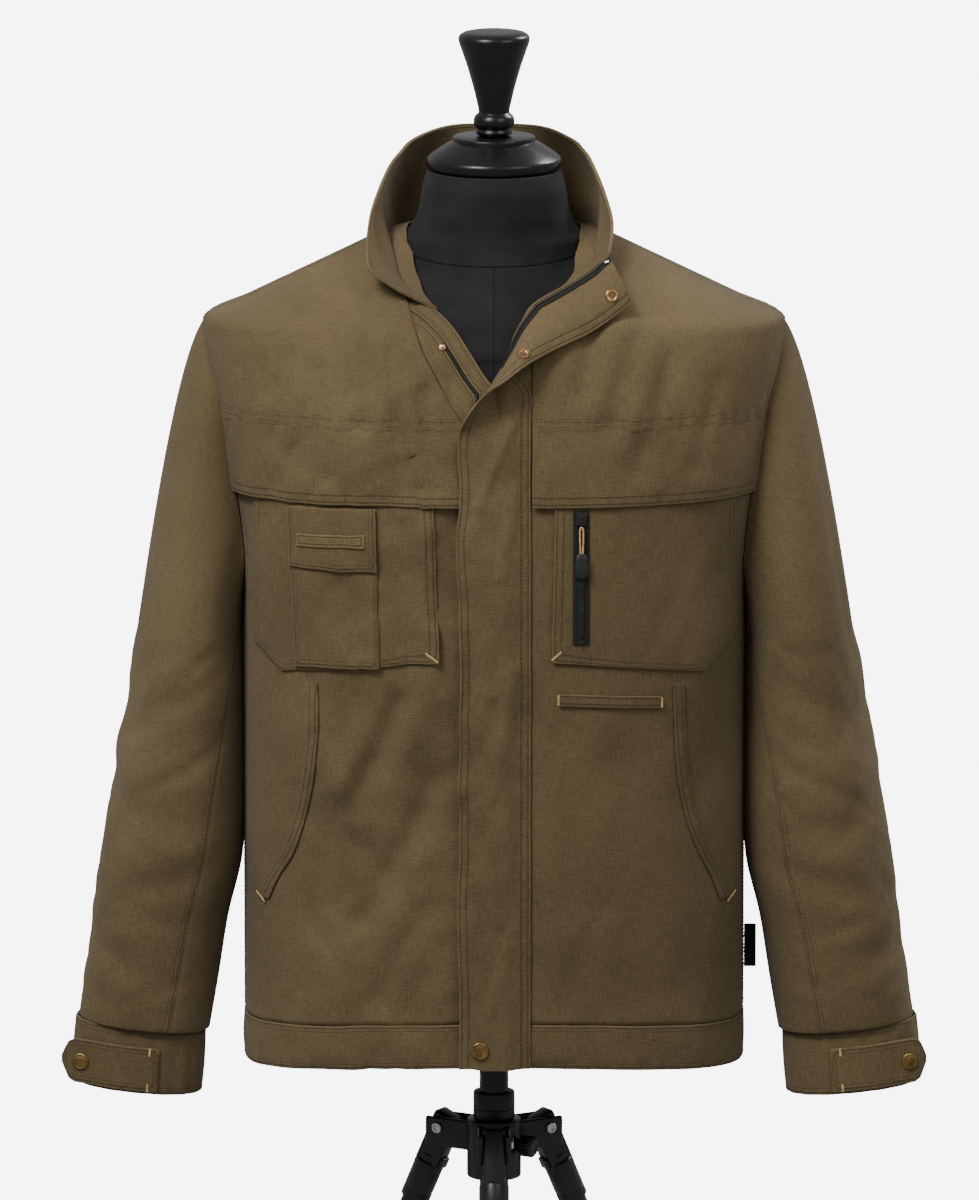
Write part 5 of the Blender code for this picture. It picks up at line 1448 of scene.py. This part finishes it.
def faced(x, height, lift):
    """A seat on the front surface and its outward direction."""
    seat = front(x, height, lift)
    return seat, unit(front(x, height, lift + 0.01) - seat)


x = -0.012
seat = front(x, 0.017, flap_lift(x) + 0.00095)
snap("hem_snap", seat, (0.0, -1.0, 0.0), 0.0077, CAP_PROFILE, BRASS)
SOCKETS = (("upper", 7.3, 0.66, 0.0056, -0.0001), ("lower", 3.25, 0.62, 0.0052, 0.0006))
for name, row, along, radius, lift in SOCKETS:
    point, normal = turned_flap(row, along)
    snap("socket_snap_" + name, point + normal * (0.00065 + lift), normal, radius, RING_PROFILE, BRIGHT_BRASS)
seat, normal = faced(-0.044, 0.6215, LIFT * 2 + THIN)
snap("collar_stud", seat, normal, 0.003, STUD_PROFILE, BRIGHT_BRASS)
for name, normal in CUFF_FACES.items():
    low, high = (Vector(corner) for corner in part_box("cuff_snap_" + name))
    snap("cuff_snap_" + name, (low + high) / 2 - normal * 0.0011, normal, 0.0072, CAP_PROFILE, BRASS)
print("snaps")

# %% Zip sliders, cord pull, top stop and side tab
point, normal = turned_flap(7.75, 0.12)
stop = boxed("zip_top_stop", mm((4.2, 2.6, 2.2)), placed(point + normal * 0.0036, normal), 0.0006)
finish_hard(stop, STEEL, MAIN, "snap_brass")
seat = faced(ZIP_X, 0.3735, ZIP_LIFT + 0.0007)
stop = boxed("pocket_zip_end_stop", mm((5.2, 3.0, 1.4)), placed(*seat), 0.0005)
finish_hard(stop, BLACK_PLASTIC, MAIN, "zip_black")


def slider(name, x, height, lift, width, length, material, slot_name):
    """A slider body with shoulders and a bridge on top."""
    seat, normal = faced(x, height, lift)
    base = boxed(name, (width, length, 0.0016), placed(seat + normal * 0.0008, normal), 0.0007)
    place = placed(seat + normal * 0.002, normal)
    bridge = boxed(name + "_bridge", (width * 0.3, length * 0.62, 0.0014), place, 0.0006)
    finish_hard(join([base, bridge], name), material, MAIN, slot_name, name)


slider("front_zip_slider", 0.0, 0.5585, 0.0004, 0.0095, 0.015, BRASS, "snap_brass")
slider("pocket_zip_slider", ZIP_X, 0.4793, ZIP_LIFT + 0.0005, 0.0092, 0.0112, BLACK_PLASTIC, "zip_black")
low, high = (Vector(corner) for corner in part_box("side_tab"))
tab = boxed("side_tab", mm((10.5, 1.2, 38.0)), Matrix.Translation((low + high) / 2), 0.0004)
finish_hard(tab, TAPE, MAIN, "zip_black", "side_tab")
print("sliders and side tab")

# %% Cord pull with a moulded grip
PULL_TOP, PULL_FOOT = 0.4726, 0.429
top, normal = faced(ZIP_X, PULL_TOP, ZIP_LIFT + 0.003)
foot = front(ZIP_X, PULL_FOOT, ZIP_LIFT + 0.003)
down = unit(foot - top)
normal = unit(np.cross(np.cross(down, normal), down))
across = np.cross(down, normal)
pull_length = float(np.linalg.norm(foot - top))
axes = Matrix((Vector(across), Vector(down), Vector(-normal))).transposed().to_4x4()
pull_place = Matrix.Translation(Vector(top)) @ axes
CORD_LOOP = mm((
    # across, along
    (1, 26.5), (1.1, 20), (1.4, 12), (1.5, 6), (1.3, 2.2), (0.7, 0.4), (-0.7, 0.4), (-1.3, 2.2), (-1.5, 6),
    (-1.4, 12), (-1.1, 20), (-1, 26.5),
))
path = through([(x, y, 0.0) for x, y in CORD_LOOP], 5)
CORD_RADIUS = 0.00075
CORD_SIDES = 10
points = []
for number, middle in enumerate(path):
    way = unit(path[min(number + 1, len(path) - 1)] - path[max(number - 1, 0)])
    for k in range(CORD_SIDES):
        turn = 2.0 * math.pi * k / CORD_SIDES
        twist = 1.0 + 0.12 * math.sin(2.0 * turn + number * 1.3)
        beside = np.array((way[1] * math.cos(turn), -way[0] * math.cos(turn), math.sin(turn)))
        points.append(middle + beside * CORD_RADIUS * twist)
index = np.arange(len(points)).reshape(-1, CORD_SIDES)
faces = grid_faces(np.concatenate((index, index[:, :1]), axis=1)).tolist()
faces += [index[0, ::-1].tolist(), index[-1].tolist()]
cord_loop = new_piece("pull_cord", points, faces)
cord_loop.data.transform(pull_place)
select_only(cord_loop)
open_mesh()
bpy.ops.mesh.normals_make_consistent(inside=False)
bpy.ops.object.mode_set(mode="OBJECT")
finish_hard(cord_loop, CORD, "zip_pull", "snap_brass", angle=60.0)
GRIP = mm((
    # along, half_width, half_thickness
    (0, 2, 1), (1.2, 4.2, 1.6), (6, 5.4, 1.9), (10, 6.1, 1.9), (16, 6.2, 1.9), (19.5, 5.6, 1.6),
    (21.2, 3, 0.9),
))
grip = turned("pull_grip", [(row[0], row[1]) for row in GRIP], Matrix.Identity(4), 32)
for vertex in grip.data.vertices:
    thin = np.interp(vertex.co.z, [row[0] for row in GRIP], [row[2] / row[1] for row in GRIP])
    rib = max(0.0, math.cos(vertex.co.z * 2.0 * math.pi / 0.0028)) * (0.006 < vertex.co.z < 0.017)
    rib = 1.0 - 0.12 * rib
    vertex.co.y *= thin * rib
laid = Matrix.Translation((0.0, pull_length - GRIP[-1][0], 0.0)) @ Matrix.Rotation(-math.pi / 2, 4, "X")
grip.data.transform(laid)
grip.data.transform(pull_place)
finish_hard(grip, BLACK_PLASTIC, "zip_pull", "zip_black", "pocket_zip_pull", angle=50.0)
print("cord pull", round(pull_length * 1000), "mm")

# %% [markdown]
# ## Dress form
#
# The form is one smooth closed shape: shoulders that carry the jacket, a dome over the chest
# and a neck that runs up to the wooden cap. It is covered in black jersey, with a seam round
# the neck and one down the middle of the front and back.

# %% Torso
FORM_RINGS = mm((
    # height, half_width, front, back, neck_front
    (50, 150, 94, 92, 0), (110, 156, 100, 98, 0), (200, 149, 98, 96, 0), (300, 153, 103, 102, 0),
    (400, 170, 112, 112, 0), (500, 185, 116, 116, 0), (570, 198, 110, 112, 0), (610, 208, 98, 106, 98),
    (630, 212, 88, 100, 92), (643, 212, 78, 94, 86), (650, 203, 70, 90, 82), (660, 178.5, 62, 84, 76),
    (670, 157.4, 52, 78, 71), (680, 135.8, 42, 72, 67), (690, 100, 28, 66, 64), (697, 83, 24, 64, 63),
    (704, 75, 40, 62, 62.5), (714, 68, 56, 61, 62), (726, 64, 61, 61, 61.5), (742, 61.5, 61, 61, 61),
    (758, 57, 57, 57, 57),
))
form_width, form_front, form_back, form_neck = (eased(FORM_RINGS, column) for column in (1, 2, 3, 4))
height = np.concatenate((spaced(0.05, 0.6, 0.016), spaced(0.6, 0.758, 0.0025)[1:]))[:, None]
turn = np.linspace(0.0, 2.0 * math.pi, 97)[None, :-1]
width = form_width(height)
x = width * signed_power(np.sin(turn), 0.87)
flat = form_front(height) * np.abs(np.cos(turn)) ** 0.87
dome = form_neck(height) * np.sqrt(np.clip(1.0 - (x / np.clip(width, 0.0, 0.078)) ** 2, 0.0, 1.0))
dome = dome * soft((height - 0.585) / 0.025)
union = 0.5 * (flat + dome + np.sqrt((flat - dome) ** 2 + 0.0064**2 * soft((dome - 0.01) / 0.03)))
y = np.where(np.cos(turn) >= 0.0, -union, form_back(height) * np.abs(np.cos(turn)) ** 0.87)
rings = stacked(x, y, height)
index = np.arange(x.size).reshape(x.shape)
faces = grid_faces(np.concatenate((index, index[:, :1]), axis=1)).tolist()
faces += [index[0, ::-1].tolist(), index[-1].tolist()]
torso = new_piece("form_torso", rings, faces)
NECK_SEAM = 0.7035
NECK_SEAM_DIP = 0.02
keep_value(torso, "edge", x)
keep_value(torso, "neck", height - NECK_SEAM + NECK_SEAM_DIP * np.clip(np.cos(turn), 0.0, 1.0))
finish_hard(torso, FORM_CLOTH, MAIN, "form_cloth", "form_torso", angle=70.0)
print("torso", len(rings), "rings")

# %% [markdown]
# ## Facing inside the neck
#
# Seen from above, a collar that stands away from the form would show a gap along its seam. A
# strip of canvas starts at that seam and runs inward. Each of its points is pushed out of the
# form, so that the strip lies on the shoulders instead of cutting through them.

# %% Neck facing
surface = BVHTree.FromPolygons(rings.reshape(-1, 3).tolist(), faces)
seam = through(SEAM_POINTS, 9)
share = np.linspace(0.0, 1.0, len(seam))
reach = 0.015 * soft(share / 0.13) * soft((1.0 - share) / 0.13) + 0.003
inward = unit(((0.0, POLE, 0.0) - seam) * (1.0, 1.0, 0.0)) + (0.0, 0.0, 0.22)
FACING_LIFT = 0.0026
facing = []
for t in (-0.1, 0.0, 0.2, 0.4, 0.6, 0.8, 1.0):
    line = seam + inward * (reach * t)[:, None] - (0.0, 0.0, 0.0012)
    for number, point in enumerate(line):
        place, normal = surface.find_nearest(Vector(point))[:2]
        if (Vector(point) - place).dot(normal) < FACING_LIFT:
            line[number] = place + normal * FACING_LIFT
    facing.append(line)
facing = np.array(facing)
facing = facing if grid_normals(facing)[3, len(seam) // 2][2] > 0.0 else facing[:, ::-1]
cloth("neck_facing", facing, wall=THIN, stitches=False, stands_for_node=False)
print("neck facing", facing.shape)

# %% [markdown]
# ## Neck cap, finial and stand
#
# The cap and the finial are turned wood under black lacquer. Below the hem a steel column
# runs through a clamp collar into a hub with three folding legs.

# %% Neck cap and finial
CAP = mm((
    (758.5, 54), (759.2, 56.6), (761, 57.8), (766, 58), (768, 57.4), (769.2, 56.2), (772.5, 52),
    (776.2, 46), (780, 40), (781.8, 36.6), (782.5, 35.2), (785, 35.3), (786, 34.8), (786.5, 33.6),
))
FINIAL = mm((
    (786.8, 12.6), (788, 14.8), (790.5, 16), (792, 15.4), (793, 15), (794.2, 16), (796, 17.1),
    (798.5, 17.6), (800.5, 17.6), (803, 16.8), (804.5, 15.8), (806, 13.9), (807, 13.2), (809, 13.4),
    (812, 14), (820, 15.8), (829, 18), (838.5, 20.7), (848, 23.5), (857, 26.6), (865, 29.4), (868, 30.3),
    (870, 30.7), (872.2, 30.3), (874, 29), (875.5, 26.2), (876.3, 22.5), (876.7, 16), (876.9, 9), (877, 1),
))
finish_hard(turned("neck_cap", CAP, pole(0.0), 72), LACQUER, MAIN, "black_wood", "neck_cap")
finish_hard(turned("finial", FINIAL, pole(0.0), 56), LACQUER, MAIN, "black_wood", "finial")
print("cap and finial")


# %% Column, clamp collar and hub
def leg_ways(bearing):
    """The way out to a leg, in degrees from the wearer's left, and the way across it."""
    radial = Vector((math.cos(math.radians(bearing)), math.sin(math.radians(bearing)), 0.0))
    return radial, Vector((-radial.y, radial.x, 0.0))


BORE = 12.8  # in millimetres, as the rows below
rows = mm(((-400, 10.5), (-399.5, 11.7), (-398, 12.5), (49, 12.5), (49.5, 12.2), (49.7, 11.6)))
finish_hard(turned("column", rows, pole(0.0), 48), PAINTED, "column", "black_metal", "column")
rows = mm(((-74, BORE), (-74, 16.8), (-73.6, 17.6), (-72.8, 18), (-65.5, 18), (-65, 17.6), (-64.5, 18),
           (-51.2, 18), (-50.4, 17.6), (-50, 16.8), (-50, BORE), (-74, BORE)))
collar = turned("column_collar", rows, pole(0.0), 56, bore=True)
finish_hard(collar, BLACK_PLASTIC, "hub", "black_metal", "column_collar")
rows = mm(((-126, BORE), (-126, 21.5), (-125.5, 22.8), (-124.3, 23.5), (-75.8, 23.5), (-74.8, 22.9),
           (-74.3, 21.7), (-74.3, BORE), (-126, BORE)))
hub_parts = [turned("leg_hub", rows, pole(0.0), 56, bore=True)]
LEGS = (("front", -90.0), ("right", 150.0), ("left", 30.0))
PIVOT_REACH, PIVOT_HEIGHT = 0.0485, -0.086
LUG_OFFSET, LUG_WALL = 0.012, 0.005
for name, bearing in LEGS:
    radial, sideways = leg_ways(bearing)
    turn = Matrix((radial, sideways, Vector((0.0, 0.0, 1.0)))).transposed().to_4x4()
    for end in (-1.0, 1.0):
        middle = pole(-0.09) @ Matrix.Translation(radial * 0.039 + sideways * end * LUG_OFFSET) @ turn
        hub_parts.append(boxed("lug", (0.044, LUG_WALL, 0.026), middle, 0.0018))
finish_hard(join(hub_parts, "leg_hub"), PAINTED, "hub", "black_metal", "leg_hub")
print("column and hub")

# %% Legs, feet and screws
LEG_SPREAD = 0.336
FOOT_LENGTH = 0.02
for name, bearing in LEGS:
    radial, sideways = leg_ways(bearing)
    pivot = Vector((0.0, POLE, HEM + PIVOT_HEIGHT)) + radial * PIVOT_REACH
    floor_point = Vector((0.0, POLE, 0.0)) + radial * LEG_SPREAD
    way = (floor_point - pivot).normalized()
    foot_top = floor_point - way * FOOT_LENGTH
    across = way.cross(sideways).normalized()
    frame_of_leg = Matrix.Translation(pivot) @ Matrix((across, sideways, way)).transposed().to_4x4()
    length = (foot_top - pivot).length
    place = frame_of_leg @ Matrix.Translation((0, 0, 0.017))
    knuckle = boxed("leg_" + name, mm((23, 18.4, 56)), place, 0.003)
    rows = mm(((36, 11.8), (36.8, 12.7), (38, 13), (64, 13), (65.5, 12.4), (67, 13), (73.5, 13), (74.6, 12.7),
               (75, 11.8)))
    ferrule = turned("ferrule", rows, frame_of_leg, 40)
    tube = turned("tube", ((0.03, 0.0105), (length * 0.52, 0.0105), (length * 0.52 + 0.0004, 0.01),
                           (length * 0.52 + 0.002, 0.01), (length * 0.52 + 0.0024, 0.0105), (length, 0.0105)),
                  frame_of_leg, 40)
    place = frame_of_leg @ Matrix.Translation((-0.0125, 0.0, 0.033))
    latch = boxed("latch", mm((3, 13, 10)), place, 0.001)
    leg = join([knuckle, ferrule, tube, latch], "leg_" + name)
    finish_hard(leg, PAINTED, name + "_leg", "black_metal", "leg_" + name)
    sole = pole(-HEM) @ Matrix.Translation(floor_point - Vector((0.0, POLE, 0.0)))
    rows = mm(((0, 12.6), (0.8, 13.7), (2, 14.2), (7.5, 14.9), (11, 14.8), (17, 13.8), (21.5, 12.2),
               (22, 10.5)))
    foot = turned("foot_" + name, rows, sole, 40)
    for vertex in foot.data.vertices:
        lean = -way * (vertex.co.z / -way.z) * soft((vertex.co.z - 0.004) / 0.012)
        vertex.co.x += lean.x
        vertex.co.y += lean.y
    finish_hard(foot, RUBBER, name + "_leg", "rubber", "foot_" + name)
    facing = Vector((1.0, 0.0, 0.0)) if name == "front" else (sideways if sideways.y < -0.1 else -sideways)
    seat = pivot + facing * (LUG_OFFSET + LUG_WALL / 2 + 0.0003)
    rows = mm(((0, 4.6), (0.3, 4.8), (1.6, 4.7), (2.1, 4.2), (2.2, 2.4), (1, 2.2), (1, 0.2)))
    screw = turned("leg_screw_" + name, rows, placed(seat, facing), 36)
    finish_hard(screw, STEEL, "hub", "steel", "leg_screw_" + name)
print("legs")

# %% Clamp knob
KNOB_ANGLE = math.radians(-30.0)
KNOB_RIDGES = 20
facing = Vector((math.cos(KNOB_ANGLE), math.sin(KNOB_ANGLE), 0.0))
seat = Vector((0.0, POLE, HEM - 0.096)) + facing * 0.0238
rows = mm(((0, 5), (3.8, 5), (4, 8), (4.8, 8.8), (14.4, 8.9), (15.8, 8), (17, 6.6), (17, 4), (16.4, 3.6),
           (16.4, 0.4)))
knob = turned("clamp_knob", rows, Matrix.Identity(4), KNOB_RIDGES * 4)
for vertex in knob.data.vertices:
    if 0.0044 < vertex.co.z < 0.016 and vertex.co.xy.length > 0.0078:
        ridge = 1.0 + 0.05 * math.cos(KNOB_RIDGES * math.atan2(vertex.co.y, vertex.co.x))
        vertex.co.x *= ridge
        vertex.co.y *= ridge
knob.data.transform(placed(seat, facing))
finish_hard(knob, BLACK_PLASTIC, "knob", "black_metal", "clamp_knob", angle=25.0)
print("knob")

# %% [markdown]
# ## Thread
#
# Every row of topstitching kept its places while the cloth was cut. Each stitch is a short
# thread that rises out of the cloth and dips back in, made here as four-sided bars joined
# into a few meshes. Bartacks are the same thread, gold, laid close together across a corner.


# %% Stitch meshes
SEED = 11
STITCHES_PER_PIECE = 7500
chance = np.random.default_rng(SEED)


def bars(centre, way, normal, radius, rise):
    """Four-sided bars with three rings each: sunk at both ends and raised in the middle."""
    normal = unit(normal)
    side = np.cross(unit(way), normal)
    rings = []
    for along, up, size in ((-0.5, -0.25, 0.75), (0.0, rise, 1.0), (0.5, -0.25, 0.75)):
        middle = centre + way * along + normal * radius * up
        rings += [middle + (side * a + normal * b) * radius * size
                  for a, b in ((1, 0), (0, 1), (-1, 0), (0, -1))]
    points = np.stack(rings, axis=1).reshape(-1, 3)
    faces = np.arange(len(centre))[:, None, None] * 12 + np.array([(0, 3, 2, 1)] + BAND_FACES)
    return points, faces.reshape(-1, 4).tolist()


def thread_piece(name, centre, way, normal, material, radius=THREAD_RADIUS, rise=0.9):
    finish_piece(new_piece(name, *bars(centre, way, normal, radius, rise)), material, MAIN, "canvas")


centre, way, normal = (np.concatenate([run[k] for run in THREAD_RUNS]) for k in range(3))
way = way * chance.uniform(0.92, 1.06, (len(way), 1)) + chance.normal(0.0, 0.00007, way.shape)
centre = centre + chance.normal(0.0, 0.00005, centre.shape)
for number, start in enumerate(range(0, len(centre), STITCHES_PER_PIECE)):
    part = slice(start, start + STITCHES_PER_PIECE)
    thread_piece("topstitching_%d" % number, centre[part], way[part], normal[part], THREAD)
print("stitches", len(centre))

# %% Bartacks
BARTACKS = mm((
    # x1, height1, x2, height2, lift
    (-57, 364, -49, 357, 2.6), (49, 358, 57, 365, 2.6), (54.8, 319, 54.8, 327.5, 2.5),
    (142.2, 313, 142.2, 321.5, 2.5), (-202, 145, -195, 138, 2.3), (205.5, 145, 198.5, 138, 2.3),
))
BAR_PITCH = 0.00042
BAR_WIDTH = 0.0021
lines = []
for x1, height1, x2, height2, lift in BARTACKS:
    up = faced((x1 + x2) / 2, (height1 + height2) / 2, lift)[1]
    lines.append((front(x1, height1, lift), front(x2, height2, lift), up))
bar_centre, bar_way, bar_normal = [], [], []
for first, second, up in lines + CUFF_BARTACKS:
    along = unit(second - first)
    side = np.cross(along, up)
    count = int(np.linalg.norm(second - first) / BAR_PITCH)
    for k in range(count):
        bar_centre.append(first + (second - first) * (k + 0.5) / count)
        bar_way.append(side * BAR_WIDTH + along * 0.0004 * (-1) ** k)
        bar_normal.append(up)
thread_piece("bartacks", np.array(bar_centre), np.array(bar_way), np.array(bar_normal), BARTACK, 0.00027, 0.8)
print("bartack threads", len(bar_centre))
print("pieces", len(PIECE_COUNT))
